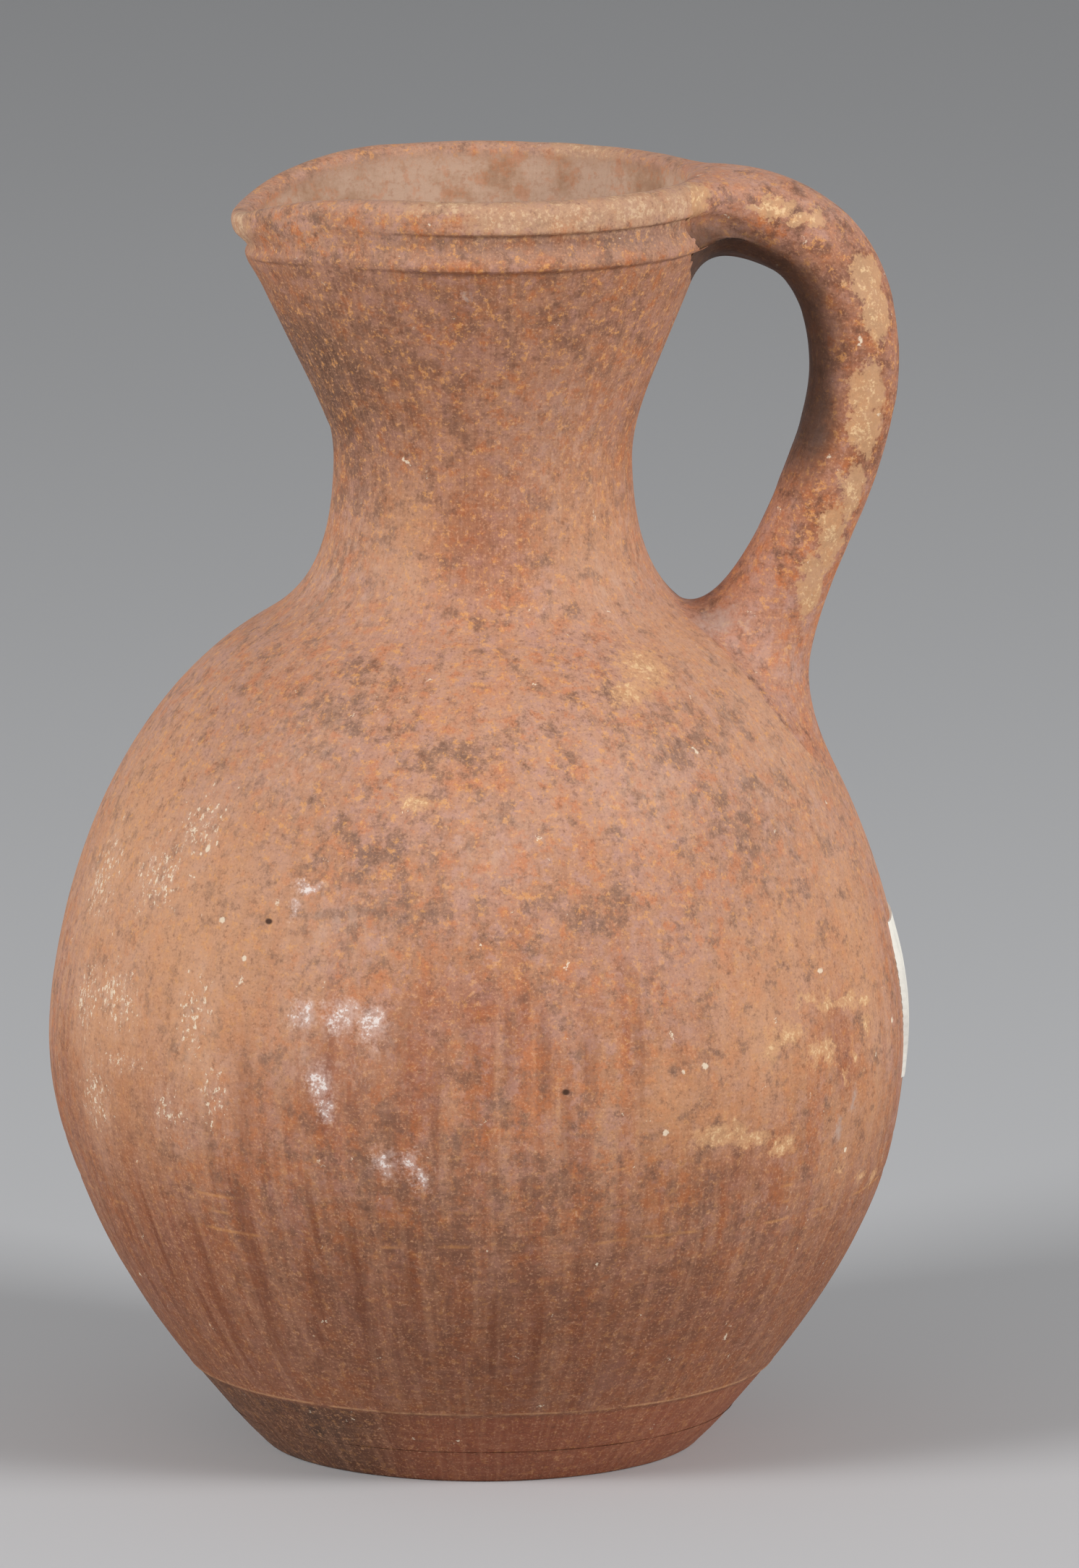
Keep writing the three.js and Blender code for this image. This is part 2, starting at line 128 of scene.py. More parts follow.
def clay_share(place: np.ndarray, seed: int) -> np.ndarray:
    """Gives the same noise with values from 0 to 1."""
    return 0.5 + 0.5 * clay_noise(place, seed)


def worked(lie: np.ndarray, layers: Sequence[tuple]) -> np.ndarray:
    """Adds up layers of noise, each given by its depth in millimetres, its cells and its seed."""
    return sum(depth * clay_share(lie / cells, seed) for depth, cells, seed in layers)


def dented(lie: np.ndarray, cells: Sequence[float], seed: int) -> np.ndarray:
    """Gives scattered dents, with plain clay between them."""
    return np.maximum(clay_noise(lie / cells, seed) - 0.35, 0)


def toward_spout(turn: np.ndarray) -> np.ndarray:
    """Gives 1 on the side of the pouring lip, falling to 0 a quarter turn away."""
    return np.maximum(-np.cos(turn), 0)


def cubic(start: tuple, leave: tuple, arrive: tuple, end: tuple, count: int = 200) -> np.ndarray:
    """Gives points along one cubic curve.

    Args:
        start: The first point.
        leave: The control point after it.
        arrive: The control point before the last.
        end: The last point.
        count: How many steps the curve has.

    Returns:
        One row per point.
    """
    share = np.linspace(0, 1, count + 1)[:, None]
    rest = 1 - share
    ends = rest**3 * np.array(start) + share**3 * np.array(end)
    middle = rest**2 * share * np.array(leave) + rest * share**2 * np.array(arrive)
    return ends + 3 * middle


def unit(vectors: np.ndarray) -> np.ndarray:
    """Scales vectors along the last axis to a length of 1."""
    return vectors / np.maximum(np.linalg.norm(vectors, axis=-1, keepdims=True), 1e-9)


def lie_round(turn: np.ndarray, radius: float, along: np.ndarray) -> np.ndarray:
    """Gives seamless places for strokes that run lengthwise on a round skin.

    Args:
        turn: Angles round the skin, in radians.
        radius: The girth that the strokes are sized for.
        along: Lengths along the strokes.

    Returns:
        Places with three numbers along the last axis.
    """
    turn, along = np.broadcast_arrays(turn, along)
    return np.stack([np.cos(turn) * radius, np.sin(turn) * radius, along], axis=-1)


def bearing_of(turn: np.ndarray) -> np.ndarray:
    """Turns an angle from +X, in radians, into a bearing from -180 to 180 degrees."""
    return (np.degrees(turn) + 90 + 180) % 360 - 180


@dataclass
class JugForm:
    """The turned shape of the jug and the marks of its making."""

    height: float = 204.4
    base_radius: float = 34.9
    base_edge: float = 0.6
    base_thickness: float = 6.0
    belly: tuple[float, float] = (68.5, 66.0)
    root: tuple[float, float] = (36.4, 132.0)
    waist: tuple[float, float] = (23.8, 158.0)
    funnel: tuple[float, float] = (36.1, 194.3)
    pulls: tuple = (
        ((0.0, 13.6), (24.48, -15.3)), ((-4.64, 2.9), (0.0, -19.3)), ((0.0, 6.2), (-9.84, -24.0)),
    )
    lower_power: float = 1.93
    wall: float = 4.6
    seam: float = 44.0
    belly_joint: float = 72.0
    shoulder_joint: float = 100.0
    root_joint: float = 121.0
    neck_joint: float = 142.0
    funnel_joint: float = 166.0
    rim_joint: float = 186.0
    lip_edge: float = 201.8
    lip_radius: float = 36.9
    lip_thickness: float = 4.8
    trim_line: float = 13.0
    mouth_start: float = 164.0
    mouth_narrowing: float = 0.055
    spout_reach: float = 3.1
    spout_dip: float = 6.1
    spout_thinning: float = 1.5
    stroke_girth: float = 50.0
    upper: np.ndarray = field(init=False)
    inner: np.ndarray = field(init=False)

    def __post_init__(self) -> None:
        """Works out the profile, where each curve has a pull at its start and one at its end."""
        points = (self.belly, self.root, self.waist, self.funnel)
        self.upper = np.vstack([self.belly] + [
            cubic(start, np.add(start, leave), np.add(end, arrive), end)[1:]
            for start, end, (leave, arrive) in zip(points, points[1:], self.pulls)
        ])
        height = np.arange(0, self.funnel[1], 1.0)
        slope = (self.radius(height + 0.25) - self.radius(height - 0.25)) / 0.5
        length = np.hypot(1, slope)
        self.inner = np.stack([
            self.radius(height) - self.wall / length, height + self.wall * slope / length,
        ], axis=-1)

    def radius(self, height: np.ndarray) -> np.ndarray:
        """Gives the plain outer radius of the wall at a height."""
        belly_radius, belly_height = self.belly
        below = 1 - np.clip(height, 0, belly_height) / belly_height
        low = belly_radius - (belly_radius - self.base_radius) * below**self.lower_power
        high = np.interp(height, self.upper[:, 1], self.upper[:, 0])
        return np.where(height < belly_height, low, high)

    def rim_line(self, height: np.ndarray) -> np.ndarray:
        """Gives the outer radius near the mouth, without its ridge and groove."""
        levels = [self.funnel[1], 197.4, 200.0, self.lip_edge]
        radii = [self.funnel[0], 36.55, self.lip_radius, self.lip_radius]
        line = np.interp(height, levels, radii)
        return np.where(height < self.funnel[1], self.radius(height), line)

    def lean(self, height: np.ndarray) -> np.ndarray:
        """Gives how far the axis wanders sideways at a height."""
        onto_belly = ease(40, 60, height)
        return -0.95 * onto_belly * (1 - ease(100, self.neck_joint, height)) - 0.25 * (1 - onto_belly)

    def settle(self, turn: np.ndarray, radius: np.ndarray, height: np.ndarray) -> np.ndarray:
        """Lays points of the plain turned shape on the real jug, with its pulled lip.

        Args:
            turn: Angles from +X, in radians.
            radius: Distances from the axis.
            height: Heights above the floor.

        Returns:
            Places with three numbers along the last axis.
        """
        turn, radius, height = np.broadcast_arrays(turn, radius, height)
        mouth = np.maximum((height - self.mouth_start) / (self.height - self.mouth_start), 0)
        spout = toward_spout(turn)
        pulled = self.spout_reach * spout**3 * mouth**0.65
        across = radius * np.cos(turn) + self.lean(height) - pulled
        depth = radius * np.sin(turn) * (1 - self.mouth_narrowing * mouth)
        dip = self.spout_dip * spout**4.8 * ease(self.rim_joint, self.height, height)
        return np.stack([across, depth, height - dip], axis=-1)

    def ridge_share(self, bearing: np.ndarray) -> np.ndarray:
        """Gives how strongly the ridge under the lip stands at a bearing."""
        marks = [-180, -150, -120, -100, -78, -66, -56, -46, -35, -14, 30, 80, 120, 180]
        shares = [0.8, 0.75, 0.35, 0.12, 0.15, 0.5, 0.4, 0.12, 0.15, 0.95, 1, 1, 0.9, 0.8]
        return np.interp(bearing, marks, shares)

    def groove_share(self, bearing: np.ndarray) -> np.ndarray:
        """Gives how deep the groove under the lip runs at a bearing."""
        marks = [-180, -150, -115, -60, -28, -8, 5, 70, 110, 180]
        shares = [0.7, 0.6, 0.1, 0.0, 0.1, 0.75, 1, 1, 0.9, 0.7]
        return np.interp(bearing, marks, shares)

    def relief(self, turn: np.ndarray, height: np.ndarray) -> np.ndarray:
        """Gives how far the outside stands off the plain shape, mostly a little inward."""
        bearing = bearing_of(turn)
        lie = lie_round(turn, self.stroke_girth, height)
        fuller = 0.16 * (1 - hump(66, 17, height)) - 0.25 * hump(168, 8, height)
        stand = fuller - 0.05 - worked(lie, HAND_MARKS) - 0.12 * dented(lie, [7, 7, 7], 4)
        wander = 0.5 * clay_noise(lie / [30, 30, 500], 5)
        seam = hump(self.seam + 0.4 + wander, 0.55, height) * 0.12
        second_seam = hump(self.seam + 6.2 - wander, 0.45, height) * 0.07
        trimmed = self.trim_line + 0.3 * wander
        trim = 0.22 * ease(trimmed + 0.35, trimmed - 0.25, height) * ease(3, 10, height)
        burr = 0.1 * hump(trimmed + 0.55, 0.3, height)
        stand = stand - seam - second_seam - trim + burr
        tooling = clay_noise(lie / [26, 26, 0.8], 6) * 0.035 * ease(176, 192, height)
        return stand + tooling + self.rim_relief(bearing, height)

    def rim_relief(self, bearing: np.ndarray, height: np.ndarray) -> np.ndarray:
        """Gives the ridge, the groove and the hollow under the lip."""
        ridge = ease(193.0, 193.6, height) * (1 - ease(193.8, 196.6, height))
        groove = ease(195.4, 197.8, height) * (1 - ease(198.95, 199.45, height))
        hollow = hump(197.2, 2.6, height)
        deep = self.groove_share(bearing)
        under_spout = hump(-90, 24, bearing) * hump(196.4, 3.6, height)
        return (0.95 * ridge * self.ridge_share(bearing) - 0.95 * groove * deep
                - 0.4 * hollow * (1 - deep) - 1.5 * under_spout)

    def outer(self, turn: np.ndarray, height: np.ndarray) -> np.ndarray:
        """Gives places on the outside of the wall up to the edge of the lip."""
        radius = self.rim_line(height) + self.relief(turn, height)
        return self.settle(turn, radius, height)

    def inside(self, turn: np.ndarray, height: np.ndarray) -> np.ndarray:
        """Gives places on the inside of the wall, with its throwing rings."""
        radius = np.interp(height, self.inner[:, 1], self.inner[:, 0]) + self.throwing(turn, height)
        thinned = self.thinned(turn) * ease(self.mouth_start, self.height, height)
        return self.settle(turn, radius + thinned, height)

    def throwing(self, turn: np.ndarray, height: np.ndarray) -> np.ndarray:
        """Gives how far the throwing rings and lumps of the inside are cut into the wall."""
        return worked(lie_round(turn, self.stroke_girth, height), THROWING_MARKS)

    def thinned(self, turn: np.ndarray) -> np.ndarray:
        """Gives how much thinner the lip is, most of all at the middle of the spout."""
        return self.spout_thinning * toward_spout(turn) ** 6

    def rim(self, turn: np.ndarray, climb: np.ndarray) -> np.ndarray:
        """Gives places on the rim along one line over the lip.

        Args:
            turn: Angles from +X, in radians.
            climb: From 0 to 1 up the outside, to 2 over the crown and to 3 down the inside.

        Returns:
            Places with three numbers along the last axis.
        """
        turn, climb = np.broadcast_arrays(turn, climb)
        height = self.rim_joint + (self.lip_edge - self.rim_joint) * np.minimum(climb, 1)
        outside = self.rim_line(height) + self.relief(turn, height)
        lie = lie_round(turn, self.stroke_girth, climb * 5)
        over = np.clip(climb - 1, 0, 1)
        crown_radius, crown_height = self.crown(over)
        worn = 0.25 * clay_share(lie / [6, 6, 5], 9) * np.sin(np.pi * over)
        crown_radius = crown_radius + self.relief(turn, np.full_like(climb, self.lip_edge)) * (1 - over)
        down = np.clip(climb - 2, 0, 1)
        inner_height = self.lip_edge + (self.rim_joint - self.lip_edge) * down
        inner_radius = self.mouth_radius(turn, inner_height)
        crown_radius = crown_radius + self.thinned(turn) * over
        radius = np.where(climb <= 1, outside, np.where(climb <= 2, crown_radius, inner_radius))
        level = np.where(climb <= 1, height, np.where(climb <= 2, crown_height - worn, inner_height))
        return self.settle(turn, radius, level)

    def crown(self, over: np.ndarray) -> tuple[np.ndarray, np.ndarray]:
        """Gives radius and height over the rounded lip, for a share from outside to inside."""
        outer, inner = self.lip_radius, self.lip_radius - self.lip_thickness
        middle = (outer + inner) / 2
        first = np.clip(over * 2, 0, 1)
        second = np.clip(over * 2 - 1, 0, 1)
        radius = outer + (middle - outer) * first**2 + (inner - middle) * (2 * second - second**2)
        rise_up = (self.height - self.lip_edge) * (2 * first - first**2)
        fall = (self.height - self.lip_edge) * second**2
        return radius, self.lip_edge + rise_up - fall

    def mouth_radius(self, turn: np.ndarray, height: np.ndarray) -> np.ndarray:
        """Gives the inner radius between the crown and the joint of the rim."""
        turning_in = self.funnel[1] - self.wall
        wall = np.interp(np.minimum(height, turning_in), self.inner[:, 1], self.inner[:, 0])
        edge = self.lip_radius - self.lip_thickness
        share = np.clip((height - turning_in) / (self.lip_edge - turning_in), 0, 1)
        fade = 1 - ease(turning_in + 6, self.lip_edge, height)
        thinned = self.thinned(turn) * (ease(self.mouth_start, self.height, height) * (1 - share) + share)
        return wall + (edge - wall) * share + self.throwing(turn, height) * fade + thinned

    def filled_radius(self, height: np.ndarray) -> np.ndarray:
        """Gives the outer radius from the floor to the top of the crown, with no hollow."""
        over = np.linspace(0, 0.5, 20)
        crown_radius, crown_height = self.crown(over)
        crown = np.interp(height, crown_height, crown_radius)
        return np.where(height > self.lip_edge, crown, self.rim_line(height))


@dataclass
class Skin:
    """Rows of points that one wrapped skin is formed on, with what its material reads."""

    places: np.ndarray
    normals: np.ndarray
    lie: np.ndarray
    inside: np.ndarray

    @classmethod
    def of_rows(cls, rows: np.ndarray, lie: np.ndarray, inside: np.ndarray,
                flipped: bool = False) -> "Skin":
        """Builds a skin from rows that have one spare row at each end.

        Args:
            rows: Places, with a spare row before the first and after the last.
            lie: Where strokes lie, without the spare rows.
            inside: How far each point is inside the jug, without the spare rows.
            flipped: Whether the rows climb the other way round.

        Returns:
            The skin without its spare rows.
        """
        along = rows[2:] - rows[:-2]
        around = np.roll(rows, -1, axis=1)[1:-1] - np.roll(rows, 1, axis=1)[1:-1]
        normals = unit(np.cross(around, along))
        return cls(rows[1:-1], -normals if flipped else normals, lie, inside)

    def joined(self, *others: "Skin") -> "Skin":
        """Puts the rows of other skins after this one's."""
        parts = [self, *others]
        names = ("places", "normals", "lie", "inside")
        return Skin(*(np.concatenate([getattr(part, name) for part in parts]) for name in names))


def wrapped_piece(name: str, skin: Skin, poles: bool = False) -> bpy.types.Object:
    """Wraps a grid round on itself and forms it on the rows of a skin.

    Args:
        name: The name of the piece.
        skin: The rows of points. The last row joins the first, unless both are poles.
        poles: Whether the first and the last row are each a single point.

    Returns:
        The piece, closed, at the origin and in metres.
    """
    rows, steps = skin.places.shape[:2]
    tall = rows - 1 if poles else rows
    maker = bmesh.new()
    bmesh.ops.create_grid(maker, x_segments=steps, y_segments=tall, size=1.0)
    for layer in ("row", "column"):
        maker.verts.layers.int.new(layer)
    row_of, column_of = (maker.verts.layers.int[layer] for layer in ("row", "column"))
    for vert in maker.verts:
        spot = round((vert.co.y + 1) / 2 * tall) % rows, round((vert.co.x + 1) / 2 * steps) % steps
        vert[row_of], vert[column_of] = spot
        vert.co = skin.places[spot] * MM
    border = [vert for vert in maker.verts if vert.is_boundary]
    bmesh.ops.remove_doubles(maker, verts=border, dist=1e-7)
    if maker.calc_volume(signed=True) < 0:
        bmesh.ops.reverse_faces(maker, faces=maker.faces)
    for face in maker.faces:
        face.smooth = True
    found = np.array([(vert[row_of], vert[column_of]) for vert in maker.verts]).T
    piece = mesh_piece(name, maker)
    mesh = piece.data
    lie = mesh.attributes.new("lie", "FLOAT_VECTOR", "POINT")
    lie.data.foreach_set("vector", skin.lie[*found].astype(np.float32).ravel())
    inside = mesh.attributes.new("inside", "FLOAT", "POINT")
    inside.data.foreach_set("value", skin.inside[*found].astype(np.float32))
    mesh.normals_split_custom_set_from_vertices(skin.normals[*found].tolist())
    return piece


def mesh_piece(name: str, maker: bmesh.types.BMesh) -> bpy.types.Object:
    """Turns a finished bmesh into a named piece of the scene."""
    mesh = bpy.data.meshes.new(name)
    maker.to_mesh(mesh)
    maker.free()
    piece = bpy.data.objects.new(name, mesh)
    bpy.context.scene.collection.objects.link(piece)
    return piece


def levels(low: float, high: float, spacing: float, fine: Sequence[tuple] = ()) -> np.ndarray:
    """Gives heights from low to high, closer together where a detail is fine.

    Args:
        low: The lowest height.
        high: The highest height.
        spacing: The usual distance between heights.
        fine: Low, high and spacing of each finer stretch.

    Returns:
        The heights, rising.
    """
    count = max(round((high - low) / spacing), 1)
    found = list(np.linspace(low, high, count + 1))
    for start, end, step in fine:
        found = [level for level in found if not start < level < end]
        found += list(np.arange(start, end, step))
    found = np.array(sorted(found))
    apart = np.concatenate([[True], np.diff(found) > 0.08])
    found = found[apart & (found > low + 0.05) & (found < high - 0.05)]
    return np.concatenate([[low], found, [high]])


@dataclass
class Jug:
    """The wall of the jug, as its base disc, its bands and its rim."""

    form: JugForm
    turn: np.ndarray = field(init=False)

    def __post_init__(self) -> None:
        """Works out the angle of each column of points."""
        self.turn = np.arange(ROUND_STEPS) / ROUND_STEPS * math.tau

    def lie(self, heights: np.ndarray) -> np.ndarray:
        """Gives where the strokes lie on rows at these heights."""
        return lie_round(self.turn[None, :], self.form.stroke_girth, heights[:, None])

    def outside_skin(self, heights: np.ndarray) -> Skin:
        """Forms the outside at these heights."""
        spare = np.concatenate([[heights[0] - OUTER_SPARE], heights, [heights[-1] + OUTER_SPARE]])
        rows = self.form.outer(self.turn[None, :], spare[:, None])
        return Skin.of_rows(rows, self.lie(heights), np.zeros(rows[1:-1, :, 0].shape))

    def inside_skin(self, heights: np.ndarray) -> Skin:
        """Forms the inside at these heights, from the top down."""
        falling = heights[::-1]
        spare = np.concatenate([[falling[0] + INNER_SPARE], falling, [falling[-1] - INNER_SPARE]])
        rows = self.form.inside(self.turn[None, :], spare[:, None])
        return Skin.of_rows(rows, self.lie(falling), np.ones(rows[1:-1, :, 0].shape))

    def band(self, name: str, low: float, high: float) -> bpy.types.Object:
        """Builds one coil-built band of the wall.

        Args:
            name: The name of the piece.
            low: The height of its lower joint.
            high: The height of its upper joint.

        Returns:
            The piece.
        """
        seam, line = self.form.seam, self.form.trim_line
        fine = [
            (start, end, 0.25)
            for start, end in ((line - 1.4, line + 1.8), (seam - 1, seam + 2), (seam + 4.5, seam + 8))
            if start > low - 1 and end < high + 1
        ]
        outer = levels(low, high, 0.75, [(max(a, low), min(b, high), c) for a, b, c in fine])
        inner = levels(low, high, 2.0)
        return wrapped_piece(name, self.outside_skin(outer).joined(self.inside_skin(inner)))

    def base_disc(self) -> bpy.types.Object:
        """Builds the flat base disc, with its worn edge and turning rings underneath."""
        form = self.form
        edge = form.base_edge
        share = np.linspace(0, 1, 6)
        start, corner = form.base_radius - edge, form.base_radius
        edge_radius = (1 - share) ** 2 * start + 2 * share * (1 - share) * corner
        edge_radius = edge_radius + share**2 * float(form.radius(edge))
        edge_height = share**2 * edge
        heights = levels(edge, form.base_thickness, 0.6)[1:]
        radii = np.concatenate([
            [-0.01], np.linspace(0, start - 0.8, DISC_RINGS), edge_radius, form.radius(heights),
            [float(form.radius(heights[-1] + OUTER_SPARE))],
        ])
        above = [heights[-1] + OUTER_SPARE]
        height = np.concatenate([np.zeros(DISC_RINGS + 1), edge_height, heights, above])
        turn, radii, height = self.turn[None, :], radii[:, None], height[:, None]
        flat = lie_round(turn, 1.0, 0 * radii) * radii[..., None]
        flat[..., 2] = radii
        rings = clay_share(flat / [30, 30, 1.7], 10) * ease(31.5, 27, radii)
        stand = form.relief(turn, height) * ease(0, edge, height)
        worn = 0.12 * clay_share(lie_round(turn, 35.0, height) / 4, 11)
        worn = worn * ease(start - 2, start, radii) * (1 - ease(edge, 3, height))
        rows = form.settle(turn, radii + stand - worn, height + 0.15 * rings)
        inside = np.zeros((len(radii) - 2, ROUND_STEPS))
        skin = Skin.of_rows(rows, lie_round(turn, form.stroke_girth, height[1:-1]), inside)
        skin.normals[0] = (0.0, 0.0, -1.0)
        corner = form.radius(heights[-1]) - 0.05
        top = Skin(
            form.settle(turn, np.array([[corner], [0.0]]), np.full((2, 1), form.base_thickness)),
            np.broadcast_to([0.0, 0.0, 1.0], (2, ROUND_STEPS, 3)),
            np.repeat(skin.lie[-1:], 2, axis=0), np.ones((2, ROUND_STEPS)),
        )
        return wrapped_piece("base_disc_skin", skin.joined(top), poles=True)

    def rim_band(self) -> bpy.types.Object:
        """Builds the rim, with its ridge, groove and rounded lip."""
        form = self.form
        reach = form.lip_edge - form.rim_joint
        heights = levels(form.rim_joint, form.lip_edge, 0.7, [(192.6, 200.4, 0.24)])
        outside = (heights - form.rim_joint) / reach
        over = 1 + np.linspace(0, 1, CROWN_ROWS + 1)[1:]
        down = 2 + np.linspace(0, 1, 12)[1:]
        climb = np.concatenate([outside, over, down])
        spare = np.concatenate([[-0.025], climb, [3.0]])
        rows = form.rim(self.turn[None, :], np.maximum(spare, 0)[:, None])
        rows[0] = form.outer(self.turn[None, :], np.array([[form.rim_joint - OUTER_SPARE]]))
        rows[-1] = form.inside(self.turn[None, :], np.array([[form.rim_joint - INNER_SPARE]]))
        inside = np.broadcast_to(ease(1.75, 2.1, climb)[:, None], (len(climb), ROUND_STEPS))
        crown, falling = np.full(CROWN_ROWS, form.lip_edge), form.lip_edge - reach * (down - 2)
        height = np.concatenate([heights, crown, falling])
        return wrapped_piece("rim_band_skin", Skin.of_rows(rows, self.lie(height), inside))


@dataclass
class Handle:
    """The round handle, bent from a straight bar, with the clay smeared over its two ends."""

    form: JugForm
    top: tuple[float, float] = (33.3, 197.0)
    bend: tuple[float, float] = (58.8, 174.0)
    foot_height: float = 122.0
    foot_sink: float = 8.6
    half_height: float = 7.35
    half_width: float = 8.5
    cover: float = 1.7
    upper_length: float = 17.0
    lower_length: float = 24.0
    gap: float = 0.15
    sunk: float = 1.3
    stroke_girth: float = 8.0
    path: np.ndarray = field(init=False)
    distance: np.ndarray = field(init=False)
    turn: np.ndarray = field(init=False)

    def __post_init__(self) -> None:
        """Works out the path along the middle of the bar."""
        foot = (float(self.form.radius(self.foot_height)) - self.foot_sink, self.foot_height)
        first = cubic(self.top, (51.6, 199.95), (58.8, 188.4), self.bend, 500)
        second = cubic(self.bend, (58.8, 160.0), (foot[0] + 10.56, foot[1] + 22), foot, 500)
        inner_end = first[0] - 30 * (first[1] - first[0])
        outer_end = second[-1] + 30 * (second[-1] - second[-2])
        self.path = np.vstack([inner_end, first, second[1:], outer_end])
        steps = np.hypot(*np.diff(self.path, axis=0).T)
        self.distance = np.cumsum(np.concatenate([[-steps[0]], steps]))
        self.turn = np.arange(BAR_STEPS) / BAR_STEPS * math.tau

    @property
    def length(self) -> float:
        """The length of the path, up to its foot."""
        return float(self.distance[-2])

    def centre(self, along: np.ndarray) -> np.ndarray:
        """Gives places on the path, as x and z."""
        return np.stack([
            np.interp(along, self.distance, self.path[:, 0]),
            np.interp(along, self.distance, self.path[:, 1]),
        ], axis=-1)

    def bar(self, along: np.ndarray, thinner: float = 0.0) -> np.ndarray:
        """Gives places on the bar.

        Args:
            along: Distances along the path, one row each, for every column or for all of them.
            thinner: How much thinner than the full bar it is.

        Returns:
            Places, with rows, columns and three numbers.
        """
        along = np.broadcast_to(along, (along.shape[0], BAR_STEPS))
        ahead, behind = self.centre(along + 0.4), self.centre(along - 0.4)
        heading = unit(ahead - behind)
        turn = np.broadcast_to(self.turn, along.shape)
        lie = lie_round(turn, self.stroke_girth, along)
        less = thinner
        if thinner == 0:
            less = worked(lie, BAR_MARKS) + 0.4 * dented(lie, [4, 4, 6], 23)
        outward = (self.half_height - less) * np.cos(turn)
        sideways = (self.half_width - less) * np.sin(turn)
        middle = self.centre(along)
        return np.stack([
            middle[..., 0] - heading[..., 1] * outward,
            sideways,
            middle[..., 1] + heading[..., 0] * outward,
        ], axis=-1)

    def reach_of_jug(self, thinner: float, stand: float) -> tuple[np.ndarray, np.ndarray]:
        """Finds where the bar comes out of the jug and where it goes back in.

        Args:
            thinner: How much thinner than the full bar it is.
            stand: How far off the jug it stops.

        Returns:
            The two distances for each column.
        """
        found = []
        for start, end in ((-1.0, 22.0), (self.length - 34, self.length + 1)):
            along = np.linspace(start, end, 500)
            place = self.bar(along[:, None], thinner)
            height = place[..., 2]
            wide = np.hypot(place[..., 0] - self.form.lean(height), place[..., 1])
            buried = wide < self.form.filled_radius(height) + stand
            if start < 0:
                last = len(along) - 1 - np.argmax(buried[::-1], axis=0)
                found.append(along[last])
            else:
                found.append(along[np.argmax(buried, axis=0)])
        return found[0], found[1]

    def lie(self, along: np.ndarray) -> np.ndarray:
        """Gives where the strokes lie on rows of the bar."""
        along = np.broadcast_to(along, (along.shape[0], BAR_STEPS))
        return lie_round(self.turn[None, :], self.stroke_girth, along)

    def tube(self, along: np.ndarray, thinner: float, flipped: bool = True) -> Skin:
        """Forms a stretch of the bar's skin.

        Args:
            along: Distances along the path, one row each.
            thinner: How much thinner than the full bar it is.
            flipped: Whether the skin faces away from the path.

        Returns:
            The skin.
        """
        rising = 1 if along[-1].mean() > along[0].mean() else -1
        spare = np.concatenate([along[:1] - 0.5 * rising, along, along[-1:] + 0.5 * rising])
        rows = self.bar(spare, thinner)
        return Skin.of_rows(rows, self.lie(along), np.zeros((len(along), BAR_STEPS)), flipped)

    def build_bar(self) -> bpy.types.Object:
        """Builds the handle, thinner where the clay is smeared over its ends."""
        start, end = self.reach_of_jug(self.cover, 0.1)
        share = np.linspace(0, 1, 6)[:, None]
        upper, lower = self.upper_length, self.length - self.lower_length
        count = round((lower - upper) / 0.7)
        first = self.tube(start + (upper - start) * share, self.cover)
        middle = self.tube(np.linspace(upper, lower, count)[:, None], 0.0)
        last = self.tube(lower + (end - lower) * share, self.cover)
        skin = self.pole(first, 0).joined(first, middle, last, self.pole(last, -1))
        return wrapped_piece("handle_bar", skin, poles=True)

    def pole(self, skin: Skin, row: int) -> Skin:
        """Closes the end of a skin with one point."""
        middle = skin.places[row].mean(axis=0)
        shape = (1, BAR_STEPS, 3)
        return Skin(
            np.broadcast_to(middle, shape), np.broadcast_to([0.0, 0.0, 1.0], shape),
            skin.lie[row][None], skin.inside[row][None],
        )

    def luting(self, name: str, upper: bool, foot: Callable, surface: Callable,
               pull: float, spread_out: np.ndarray) -> bpy.types.Object:
        """Builds the clay that is smeared over one end of the handle.

        Args:
            name: The name of the piece.
            upper: Whether it is the end at the rim.
            foot: Gives turn and climb of the smear's edge on the jug, for a size.
            surface: Gives places on the jug for turn and climb.
            pull: How long the clay keeps the direction of the bar.
            spread_out: How long it runs along the jug, for each column.

        Returns:
            The piece.
        """
        toward = -1.0 if upper else 1.0
        station = self.upper_length if upper else self.length - self.lower_length
        ring = self.bar(np.array([[station]]))[0]
        ahead = self.bar(np.array([[station + 0.5 * toward]]))[0]
        leave = unit(ahead - ring)
        edge = surface(*foot(1.0))
        spread = unit(surface(*foot(1.04)) - edge)
        apart = np.linalg.norm(edge - ring, axis=-1, keepdims=True)
        share = np.linspace(0, 1, LUTING_ROWS)[:, None, None]
        rows = (
            (2 * share**3 - 3 * share**2 + 1) * ring
            + (share**3 - 2 * share**2 + share) * leave * apart * pull
            + (3 * share**2 - 2 * share**3) * edge
            + (share**3 - share**2) * spread * apart * spread_out[:, None]
        )
        along = station + toward * share[..., 0] * apart[:, 0]
        lumps = clay_noise(self.lie(along) / [6, 6, 8], 24)
        behind = self.bar(np.array([[station - 0.5 * toward]]))
        spare = np.concatenate([behind, rows, 2 * rows[-1:] - rows[-2:-1]])
        outer = self.facing_out(spare, along)
        swell = 0.35 * np.sin(np.pi * share[..., 0]) ** 1.5 * lumps
        rows = rows + outer.normals * swell[..., None]
        outer = self.facing_out(np.concatenate([behind, rows, 2 * rows[-1:] - rows[-2:-1]]), along)
        outer.normals[-1] = self.jug_normal(foot, surface)
        sunk = Skin(
            outer.places[-1:] - self.sunk * outer.normals[-1:], outer.normals[-1:],
            outer.lie[-1:], outer.inside[-1:],
        )
        out, back = self.reach_of_jug(self.cover - self.gap, -self.sunk)
        seat = out if upper else back
